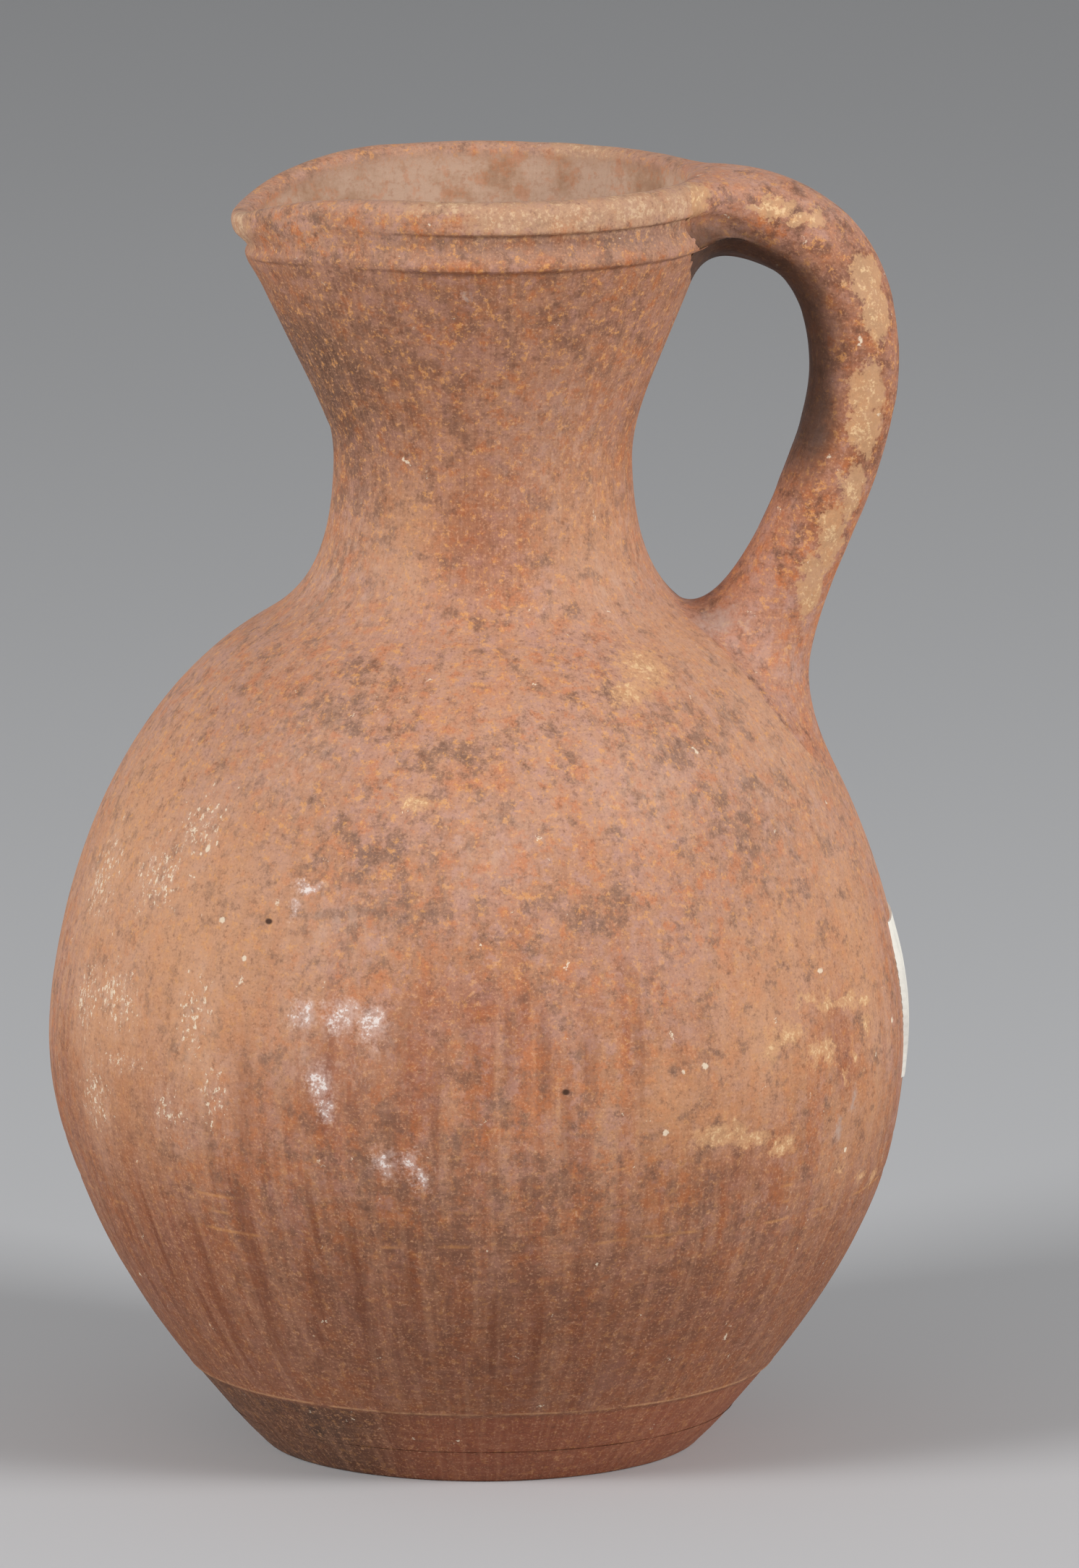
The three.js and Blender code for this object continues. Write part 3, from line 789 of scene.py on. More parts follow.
        tunnel_share = np.linspace(0, 1, 5)[:, None]
        tunnel = self.tube(seat + (station - seat) * tunnel_share, self.cover - self.gap, False)
        return wrapped_piece(name, outer.joined(sunk, tunnel))

    def facing_out(self, rows: np.ndarray, along: np.ndarray) -> Skin:
        """Forms a skin round the bar that faces away from its middle."""
        skin = Skin.of_rows(rows, self.lie(along), np.zeros(along.shape))
        ring = skin.places[0]
        skin.normals *= np.sign((skin.normals[0] * (ring - ring.mean(axis=0))).sum())
        return skin

    def jug_normal(self, foot: Callable, surface: Callable) -> np.ndarray:
        """Gives the direction off the jug along the edge of a smear."""
        turn, climb = foot(1.0)
        around = surface(turn + 0.01, climb) - surface(turn - 0.01, climb)
        along = surface(turn, climb + 0.02) - surface(turn, climb - 0.02)
        return unit(np.cross(around, along))

    def build_luting(self, upper: bool) -> bpy.types.Object:
        """Builds the smear that runs from the handle onto the rim or onto the shoulder."""
        half_turn, middle, reach = (27, 0.975, 0.925) if upper else (19, 122.7, -14.7)

        def foot(size: float) -> tuple[np.ndarray, np.ndarray]:
            """Gives the edge of the smear on the jug."""
            turn = math.radians(half_turn) * np.sin(self.turn) * size
            return turn, middle + reach * np.cos(self.turn) * size

        if upper:
            spread_out = 1.0 - 0.45 * np.cos(self.turn)
            return self.luting("upper_luting", True, foot, self.form.rim, 1.5, spread_out)
        spread_out = np.full(BAR_STEPS, 1.3)
        return self.luting("lower_luting", False, foot, self.form.outer, 1.35, spread_out)


@dataclass
class PaperLabel:
    """The blank paper label that is gummed to the belly."""

    form: JugForm
    width: float = 33.0
    tall: float = 25.0
    middle_height: float = 72.3
    middle_turn: float = math.radians(7)
    thickness: float = 0.9
    tooth: float = 0.14
    columns: int = 102
    rows: int = 78
    sunk: float = 0.72
    curl_lift: float = 0.34
    border_drop: float = 0.55

    def build(self) -> bpy.types.Object:
        """Builds the label from a bent sheet with a toothed edge."""
        maker = bmesh.new()
        bmesh.ops.create_grid(maker, x_segments=self.columns, y_segments=self.rows, size=1.0)
        for vert in maker.verts:
            across, up = vert.co.x, vert.co.y
            side, end = abs(across) > 0.999, abs(up) > 0.999
            tooth_side = round((up + 1) * self.rows / 2) % 2 if side else 0
            tooth_end = round((across + 1) * self.columns / 2) % 2 if end else 0
            across *= self.width / 2 - self.tooth * tooth_side
            up *= self.tall / 2 - self.tooth * tooth_end
            vert.co = self.place(across, up) * MM
        bmesh.ops.recalc_face_normals(maker, faces=maker.faces)
        if sum(face.normal.x for face in maker.faces) < 0:
            bmesh.ops.reverse_faces(maker, faces=maker.faces)
        bmesh.ops.solidify(maker, geom=maker.faces[:], thickness=-self.thickness * MM)
        bmesh.ops.recalc_face_normals(maker, faces=maker.faces)
        return mesh_piece("label_sheet", maker)

    def place(self, across: float, up: float) -> Vector:
        """Gives where a point of the flat label comes to lie on the belly."""
        height = self.middle_height + up
        turn = self.middle_turn + across / self.form.belly[0]
        spot = np.array([across, up, 3.0])
        cockle = float(clay_share(spot / [9, 7, 9], 31))
        curl = ease(-12, 1, np.array(up)) * (1 - ease(4, 14, np.array(up)))
        inward = np.array(self.width / 2 - abs(across))
        ripple = 0.05 * math.sin(math.tau * up / 1.4) * (1 - float(ease(1.0, 3.5, inward)))
        border = ease(0.0, 1.3, inward)
        lift = 0.06 * cockle + ripple + self.curl_lift * float(curl)
        lift -= self.sunk + self.border_drop * (1 - float(border))
        radius = float(self.form.radius(height)) + lift
        return Vector(self.form.settle(np.array(turn), np.array(radius), np.array(height)))


def paint(red: int, green: int, blue: int) -> tuple[float, float, float, float]:
    """Turns a colour as a screen shows it into the numbers that a shader takes."""
    shown = np.array([red, green, blue]) / 255
    linear = np.where(shown <= 0.04045, shown / 12.92, ((shown + 0.055) / 1.055) ** 2.4)
    return (*linear.tolist(), 1.0)


class Wiring:
    """Adds nodes to one shader tree and links them."""

    def __init__(self, tree: bpy.types.NodeTree) -> None:
        """Takes the tree to work on."""
        self.tree = tree

    def add(self, kind: str, inputs: dict, **settings: object) -> bpy.types.Node:
        """Adds one node.

        Args:
            kind: The type of the node.
            inputs: A socket or a value for each input, by name or number.
            settings: Properties of the node.

        Returns:
            The node.
        """
        node = self.tree.nodes.new(kind)
        for name, value in settings.items():
            setattr(node, name, value)
        for key, value in inputs.items():
            if isinstance(value, Socket):
                self.tree.links.new(value, node.inputs[key])
            else:
                node.inputs[key].default_value = value
        return node

    def math(self, operation: str, *values: object) -> Socket:
        """Adds one sum and gives its result."""
        return self.add("ShaderNodeMath", dict(enumerate(values)), operation=operation).outputs[0]

    def vector(self, operation: str, *values: object) -> Socket:
        """Adds one sum of vectors and gives its result."""
        node = self.add("ShaderNodeVectorMath", dict(enumerate(values)), operation=operation)
        return node.outputs["Value"] if operation in ("LENGTH", "DISTANCE") else node.outputs[0]

    def band(self, value: object, low: object, high: object) -> Socket:
        """Gives 0 below low, 1 above high and a smooth change between."""
        node = self.add(
            "ShaderNodeMapRange", {"Value": value, "From Min": low, "From Max": high},
            interpolation_type="SMOOTHSTEP",
        )
        return node.outputs["Result"]

    def noise(self, place: object, scale: float, detail: float = 2.0,
              roughness: float = 0.5) -> Socket:
        """Gives the value of a noise pattern."""
        node = self.add("ShaderNodeTexNoise", {
            "Vector": place, "Scale": scale, "Detail": detail, "Roughness": roughness,
        })
        return node.outputs["Fac"]

    def mix(self, share: object, under: object, over: object) -> Socket:
        """Lays one colour over another."""
        return self.add("ShaderNodeMix", {0: share, 6: under, 7: over}, data_type="RGBA").outputs[2]

    def times(self, *values: object) -> Socket:
        """Multiplies two values or more."""
        return reduce(lambda one, other: self.math("MULTIPLY", one, other), values)

    def scaled(self, value: object, factor: object, added: object) -> Socket:
        """Multiplies a value and adds to it."""
        return self.math("MULTIPLY_ADD", value, factor, added)

    def split(self, vector: object) -> bpy.types.bpy_prop_collection:
        """Gives the three numbers of a vector."""
        return self.add("ShaderNodeSeparateXYZ", {0: vector}).outputs

    def place(self) -> Socket:
        """Gives places on the piece, in millimetres."""
        spot = self.add("ShaderNodeTexCoord", {}).outputs["Object"]
        return self.vector("MULTIPLY", spot, (1 / MM, 1 / MM, 1 / MM))

    def dress(self, colour: object, rough: object, specular: float, relief: tuple) -> None:
        """Links colour, roughness and relief to the shader of a material.

        Args:
            colour: The base colour.
            rough: The roughness.
            specular: How much it shines.
            relief: Strength and distance of the bump, and the height that it shows.
        """
        shader = self.tree.nodes["Principled BSDF"]
        strength, distance, height = relief
        bump = self.add("ShaderNodeBump", {"Strength": strength, "Distance": distance, "Height": height})
        shader.inputs["Specular IOR Level"].default_value = specular
        for name, socket in (("Base Color", colour), ("Roughness", rough), ("Normal", bump.outputs[0])):
            self.tree.links.new(socket, shader.inputs[name])

    def group(self, tree: bpy.types.NodeTree, **inputs: object) -> Socket:
        """Places a shared effect and gives its first output."""
        return self.add("ShaderNodeGroup", inputs, node_tree=tree).outputs[0]


def new_material(name: str) -> tuple[bpy.types.Material, Wiring]:
    """Starts a material and gives it with its wiring."""
    material = bpy.data.materials.new(name)
    material.use_nodes = True
    return material, Wiring(material.node_tree)


class Effects:
    """The effects that several finishes share, each a node group that is built once."""

    def __init__(self) -> None:
        """Builds the groups."""
        place = ("Place",)
        self.strokes = self.built(
            "Burnishing strokes", ("Lie",), ("Width", "Length", "Low", "High"), self.stroke_mask)
        self.cloud = self.built("Clay clouds", place, ("Size", "Low", "High"), self.cloud_mask)
        self.grit = self.built("Scattered grit", place, ("Spacing", "Size", "Share"), self.grit_mask)
        self.patch = self.built("Placed patch", ("Place", "Centre", "Reach"), ("Soft",), self.patch_mask)
        self.line = self.built(
            "Broken level line", place, ("Height", "Width", "Wander", "Gaps"), self.line_mask)

    @staticmethod
    def built(name: str, vectors: Sequence[str], numbers: Sequence[str],
              mask: Callable) -> bpy.types.NodeTree:
        """Builds one group with a mask as its output.

        Args:
            name: The name of the group.
            vectors: The names of its inputs that are vectors.
            numbers: The names of its inputs that are numbers.
            mask: Builds the mask from the wiring and the inputs, in that order.

        Returns:
            The group.
        """
        tree = bpy.data.node_groups.new(name, "ShaderNodeTree")
        for names, kind in ((vectors, "NodeSocketVector"), (numbers, "NodeSocketFloat")):
            for socket in names:
                tree.interface.new_socket(socket, in_out="INPUT", socket_type=kind)
        tree.interface.new_socket("Mask", in_out="OUTPUT", socket_type="NodeSocketFloat")
        wiring = Wiring(tree)
        given = wiring.add("NodeGroupInput", {}).outputs
        result = wiring.add("NodeGroupOutput", {})
        found = mask(wiring, *(given[socket] for socket in (*vectors, *numbers)))
        tree.links.new(found, result.inputs["Mask"])
        return tree

    @staticmethod
    def stroke_mask(wiring: Wiring, lie: object, width: object, length: object, low: object,
                    high: object) -> Socket:
        """Gives long strokes, as a burnishing stone or a wet rag leaves them."""
        across = wiring.math("DIVIDE", 1.0, width)
        along = wiring.math("DIVIDE", 1.0, length)
        stretch = wiring.add("ShaderNodeCombineXYZ", {0: across, 1: across, 2: along}).outputs[0]
        return wiring.band(wiring.noise(wiring.vector("MULTIPLY", lie, stretch), 1.0, 2.5, 0.55), low, high)

    @staticmethod
    def cloud_mask(wiring: Wiring, place: object, size: object, low: object,
                   high: object) -> Socket:
        """Gives cloudy mottling of a given size."""
        return wiring.band(wiring.noise(place, wiring.math("DIVIDE", 1.0, size), 4.0, 0.6), low, high)

    @staticmethod
    def grit_mask(wiring: Wiring, place: object, spacing: object, size: object,
                  share: object) -> Socket:
        """Gives scattered specks, where a share of the cells holds one."""
        scale = wiring.math("DIVIDE", 1.0, spacing)
        cells = wiring.add("ShaderNodeTexVoronoi", {"Vector": place, "Scale": scale})
        parts = wiring.split(cells.outputs["Color"])
        held = wiring.math("LESS_THAN", parts[0], share)
        reach = wiring.times(wiring.math("DIVIDE", size, spacing), wiring.scaled(parts[1], 0.7, 0.3))
        far = wiring.band(cells.outputs["Distance"], wiring.times(reach, 0.45), reach)
        return wiring.times(wiring.math("SUBTRACT", 1.0, far), held)

    @staticmethod
    def patch_mask(wiring: Wiring, place: object, centre: object, reach: object,
                   soft: object) -> Socket:
        """Gives one soft patch at a given place."""
        away = wiring.vector("SUBTRACT", place, centre)
        far = wiring.vector("LENGTH", wiring.vector("DIVIDE", away, reach))
        return wiring.band(far, wiring.math("ADD", 1.0, soft), wiring.math("SUBTRACT", 1.0, soft))

    @staticmethod
    def line_mask(wiring: Wiring, place: object, height: object, width: object, wander: object,
                  gaps: object) -> Socket:
        """Gives a thin level line that wanders and breaks off."""
        level = wiring.vector("MULTIPLY", place, (1.0, 1.0, 0.05))
        sway = wiring.math("SUBTRACT", wiring.noise(level, 0.045, 2.0), 0.5)
        middle = wiring.scaled(sway, wander, height)
        away = wiring.math("ABSOLUTE", wiring.math("SUBTRACT", wiring.split(place)[2], middle))
        there = wiring.noise(wiring.vector("ADD", level, (0.0, 0.0, 9.0)), 0.11, 3.0)
        kept = wiring.band(there, gaps, wiring.math("ADD", gaps, 0.12))
        return wiring.times(wiring.band(away, width, 0.0), kept)


@dataclass(frozen=True)
class Spot:
    """One patch, by its own middle and its reach in millimetres."""

    middle: tuple[float, float, float]
    across: float
    up: float

    def centre(self, form: JugForm) -> tuple[float, float, float]:
        """Gives the middle of the patch."""
        return self.middle


@dataclass(frozen=True)
class Mark:
    """One patch on the jug, placed by bearing and height, with its reach in millimetres."""

    bearing: float
    height: float
    across: float
    up: float

    def centre(self, form: JugForm) -> tuple[float, float, float]:
        """Gives the middle of the patch, in millimetres."""
        turn, height = np.radians(self.bearing - 90), np.array(self.height)
        place = form.settle(turn, form.filled_radius(height), height)
        return tuple(float(value) for value in place)

    def run(self, form: JugForm) -> Spot:
        """Gives the same patch as a run down the wall, placed as the strokes are."""
        turn, height = np.radians(self.bearing - 90), np.array(float(self.height))
        spot = lie_round(turn, form.stroke_girth, height)
        return Spot(tuple(float(value) for value in spot), self.across, self.up)


def marks(*rows: tuple) -> tuple[Mark, ...]:
    """Turns rows of bearing, height, reach across and reach up into patches on the jug."""
    return tuple(Mark(*row) for row in rows)


def spots(*rows: tuple) -> tuple[Spot, ...]:
    """Turns rows of x, y, z, reach across and reach up into patches on the handle."""
    return tuple(Spot(row[:3], *row[3:]) for row in rows)


def between(patches: tuple[Mark, ...], low: float, high: float) -> tuple[Mark, ...]:
    """Keeps the patches whose middle is between two heights."""
    return tuple(mark for mark in patches if low < mark.height < high)


# Sooty patches; the one under the ridge at (0, 184) and those on the left of the neck are partly painted
# shade.
SOOT_AND_SHADE = marks(
    (19, 96, 4, 3.5), (49, 108, 11, 7), (-3, 118, 6, 4), (-16, 102, 11, 9), (40, 119, 10, 9),
    (-4, 42, 26, 18), (33, 44, 9, 12), (-11, 59, 10, 9), (-31, 125, 8, 7), (-54, 178, 12, 20),
    (-24, 176, 13, 13), (-60, 160, 9, 14), (29, 184, 12, 7), (8, 52, 13, 10), (-24, 34, 12, 11),
    (36, 34, 15, 11), (-40, 192, 9, 5), (0, 184, 13, 5), (-19, 27, 12, 9), (4, 36, 12, 9),
    (140, 60, 26, 20), (-140, 100, 22, 18), (170, 120, 18, 12), (-120, 45, 20, 14),
    (120, 178, 14, 12), (-170, 185, 14, 9),
)
WORN = marks(
    (51, 79.4, 3.2, 0.6), (55.5, 78, 3, 1.0), (60, 77.2, 3.6, 1.2), (65, 76.4, 2.4, 0.8),
    (52.6, 70.9, 3.2, 1.6), (54.9, 70, 1.7, 1.9), (65.1, 72.5, 1.8, 1.3), (46.5, 74.7, 4, 1.6),
    (43, 72.6, 1.8, 2.6), (61.2, 68.2, 1.0, 1.8), (58.2, 65.8, 0.8, 1.9), (34, 60.5, 5, 1.7),
    (39.5, 59.4, 4, 1.5), (45, 57, 2.4, 1.5), (59.4, 50.6, 1.7, 0.6), (67, 47.4, 2.2, 0.9),
    (73, 45.8, 2.6, 0.8), (41, 130, 5, 4), (33, 127, 4, 2), (-10, 113, 3, 2), (150, 92, 4, 1.4),
    (144, 94, 2.4, 2.2), (-155, 72, 3, 1.6), (-149, 69, 2.4, 1), (120, 130, 3, 1.6),
)
# Patches of painted light on the belly, shoulder and neck.
PAINTED_LIGHT = marks(
    (-43, 88, 17, 22), (-58, 70, 14, 18), (-66, 100, 12, 20), (42, 74, 12, 14), (34, 62, 9, 6),
    (66, 86, 10, 20), (64, 57, 10, 9), (60, 132, 9, 9), (-30, 150, 6, 9), (52, 86, 13, 11),
    (72, 123, 15, 15), (28, 66, 8, 7), (46, 148, 9, 12), (150, 90, 24, 22), (-110, 85, 22, 22),
)
EMBER = marks(
    (57.5, 73.6, 3.4, 3.2), (58.4, 67.0, 2.4, 4.4), (39, 54, 5, 3.6), (-1, 83, 9, 4),
    (-19, 70, 9, 8), (0, 150, 7, 10), (-50, 40, 9, 14), (-56, 55, 6, 8), (-8, 74, 6, 9),
    (-70, 60, 7, 12), (-56, 66, 9, 6), (-47, 63, 7, 5),
)
ASH = marks(
    (-4.5, 188.7, 0.8, 1.3), (60.9, 61.5, 1.4, 2.2), (57.3, 57.5, 1.3, 2.4),
)
DOTS = marks(
    (31.8, 71.9, 0.7, 0.6), (25.8, 62, 0.6, 0.6), (54.9, 83.1, 0.8, 0.45), (28.5, 71.4, 0.4, 0.5),
    (60, 53.4, 0.5, 0.5), (75.3, 71, 0.7, 0.5), (-38.8, 93.5, 0.6, 0.5), (-33.9, 88.3, 0.5, 0.5),
    (-45, 103.5, 0.5, 0.8),
)
LIME = marks(
    (-24, 81, 2.2, 2.4), (-18.3, 81, 3.0, 2.8), (-13.5, 79.9, 2.6, 3.0), (-12, 57.8, 2.0, 2.2),
    (-8.6, 58.6, 1.6, 2.0), (-7, 56, 1.8, 2.0), (-21, 70.5, 2.2, 3.0), (-20, 66.8, 1.8, 2.0),
    (-25, 100.1, 2.6, 1.0), (-27, 96.7, 1.1, 2.2), (-130, 88, 2.2, 1.6), (-100, 60, 1.6, 2.6),
)
FLECKED = marks(
    (-48, 106, 6, 8), (-54, 98, 8, 7), (-70, 95, 8, 9), (-58, 78, 9, 7), (-66, 76, 6, 8),
    (-41, 78, 4, 10), (-55, 69, 8, 2), (-45, 63, 5, 5), (-37, 66, 4, 7), (-62, 62, 6, 8),
    (-108, 88, 5, 8), (-163, 108, 5, 7),
)
# Pale dusty veils, partly painted sheen on the right side, the flanks of the neck root and the waist.
DUST_AND_SHEEN = marks(
    (-19, 76, 11, 7), (-20, 95, 8, 6), (60, 112, 13, 20), (50, 140, 10, 12), (2, 106, 9, 7),
    (30, 114, 8, 8), (-34, 118, 9, 8), (34, 164, 11, 12), (60, 128, 14, 12), (-58, 142, 14, 12),
    (64, 144, 12, 12), (-110, 80, 20, 25), (-160, 110, 16, 20), (105, 95, 15, 20),
)
DRIPS = marks(
    (-34.3, 43, 1.3, 11), (-35.4, 31, 0.8, 9), (-36.6, 22, 0.6, 6), (-23.2, 48, 0.5, 8),
    (-25.2, 36, 0.7, 7), (-26.6, 28, 0.5, 4), (-18.2, 37, 0.8, 10), (-44.2, 40, 0.7, 6),
    (-45.0, 29, 0.9, 7), (-45.8, 21, 0.6, 5), (-49, 27, 0.7, 7), (-58.5, 26, 0.7, 7),
    (-64, 28, 0.7, 8), (-62.6, 39, 0.5, 8), (-69.6, 38, 0.6, 7), (-54.2, 41, 0.6, 9),
    (-10, 38, 0.7, 6), (2, 28, 0.7, 9), (9, 27, 0.7, 9),
)
STREAKS = marks(
    (-9.5, 77, 0.9, 8), (0, 74, 0.9, 8), (9, 74, 0.9, 9), (15.5, 75, 0.9, 9), (-11, 60, 0.9, 8),
    (-32, 66, 1.2, 13), (-20, 72, 0.8, 8), (4.5, 75, 0.7, 8), (22, 74, 0.8, 9), (-5, 66, 0.7, 9),
    (-38, 58, 0.7, 8), (12, 62, 0.8, 8),
)
PITS = marks(
    (-30.8, 94.2, 0.66, 0.45), (11.9, 69.6, 0.62, 0.5),
)
RIM_WEAR = marks(
    (8, 202, 9, 3.0), (25, 202, 9, 3.2), (42, 202, 9, 3.2), (57, 202, 8, 3.4), (65, 202.6, 4, 2.6),
    (-8, 203.6, 8, 0.9), (-78, 202.5, 6.0, 5.0), (150, 203, 9, 2.5),
)
HANDLE_WEAR = spots(
    (60.0, -5.8, 188.0, 3.4, 4.0), (61.6, -5.8, 183.0, 3.0, 5.0), (60.5, -6.6, 170.5, 3.2, 5.0),
    (60.2, -6.6, 164.8, 2.8, 4.6), (58.6, -6.5, 154, 2.2, 5.5), (55.0, -6.5, 147, 2.4, 6.5),
    (51.5, -6.0, 139, 2.6, 5.5), (45.5, -7.5, 199.6, 4.0, 1.3), (51.0, -7.0, 197.4, 3.5, 1.2),
    (64.5, 4.5, 176, 3.5, 12),
)
# Sooty patches on the handle, partly painted shade on its underside and in its bend.
HANDLE_SOOT_AND_SHADE = spots(
    (42.0, 0, 189.5, 9.0, 5.0), (50.0, -2.0, 181.0, 5.5, 10.0), (49.5, -2.0, 168.0, 4.5, 8.0),
    (58.5, -8.0, 181.0, 3.0, 4.0), (52.0, -6.0, 196.5, 9.0, 5.5), (58.0, -8.0, 192.0, 5.0, 5.0),
    (60.5, -7.5, 175.5, 5.0, 3.5), (50.5, -7, 150.0, 3.0, 6.0), (62.0, -5, 158.0, 4.0, 5.0),
    (66.0, 0, 178.0, 2.5, 16.0),
)
# Pale dusty veils on the handle, partly painted sheen near its lower end.
HANDLE_DUST_AND_SHEEN = spots(
    (40.0, -2.0, 204.0, 8.0, 4.0), (54.0, -3.0, 200.5, 6.0, 4.0), (40.0, -9.0, 130.0, 12.0, 7.0),
    (50.0, -6.0, 126.0, 7.0, 7.0),
)
HANDLE_ASH = spots(
    (37.5, -8.0, 133.5, 4.5, 2.6),
)


@dataclass(frozen=True)
class ClayFinish:
    """The burnished slip of one slot, with its marks, its wear and its painted light and shade."""

    slot: Slot
    soot_and_shade: tuple = ()
    worn: tuple = ()
    lime: tuple = ()
    dust_and_sheen: tuple = ()
    flecked: tuple = ()
    drips: tuple = ()
    streaks: tuple = ()
    pits: tuple = ()
    painted_light: tuple = ()
    ember: tuple = ()
    ash: tuple = ()
    dots: tuple = ()
    wear_edge: tuple = (0.2, 0.95, 1.7)
    under_shade: float = 0.0
    top_share: float = 0.26
    mid: tuple = paint(171, 120, 88)
    pale: tuple = paint(188, 141, 112)
    red: tuple = paint(162, 88, 50)
    streak: tuple = paint(138, 76, 48)
    orange: tuple = paint(190, 112, 64)
    bright: tuple = paint(214, 160, 124)
    brown: tuple = paint(108, 72, 54)
    mauve: tuple = paint(180, 136, 121)
    ochre: tuple = paint(220, 156, 92)
    # Sooty tones, also laid as painted shade in some patches and in the rim's groove.
    soot_and_shade_veil: tuple = paint(132, 98, 80)
    soot_grain_and_groove_shade: tuple = paint(104, 80, 68)
    buff: tuple = paint(208, 158, 114)
    scraped: tuple = paint(232, 198, 152)
    # The tone of the painted light patches.
    tan: tuple = paint(201, 149, 110)
    ember_tone: tuple = paint(136, 70, 44)
    ash_tone: tuple = paint(176, 160, 152)
    # The tone of the dusty veils and painted sheen.
    dust_and_sheen_tone: tuple = paint(206, 168, 146)
    # A paler tone on faces that point up.
    upward_tone: tuple = paint(196, 152, 132)
    film: tuple = paint(212, 184, 174)
    white: tuple = paint(236, 226, 220)
    cream: tuple = paint(234, 216, 190)
    pit_tone: tuple = paint(70, 44, 30)
    # Painted shade of the lower wall.
    low_shade_tone: tuple = paint(122, 72, 50)
    # Painted shade of the neck under the funnel.
    neck_shade_tone: tuple = paint(136, 82, 56)
    foot_tone: tuple = paint(146, 82, 58)
    # Painted shade on the left of the foot and of the neck.
    foot_shade: tuple = paint(62, 48, 40)
    drip_tone: tuple = paint(108, 56, 34)
    inner_tone: tuple = paint(190, 158, 136)
    inner_dark: tuple = paint(172, 136, 110)
    # Painted shade on the handle's side toward the neck.
    under_shade_tone: tuple = paint(58, 44, 36)

    def build(self, effects: Effects, form: JugForm) -> bpy.types.Material:
        """Builds the material.

        Args:
            effects: The shared groups.
            form: The shape that marks are placed on.

        Returns:
            The material.
        """
        material, wiring = new_material(self.slot.value)
        ClayPainter(self, wiring, effects, form).paint()
        return material


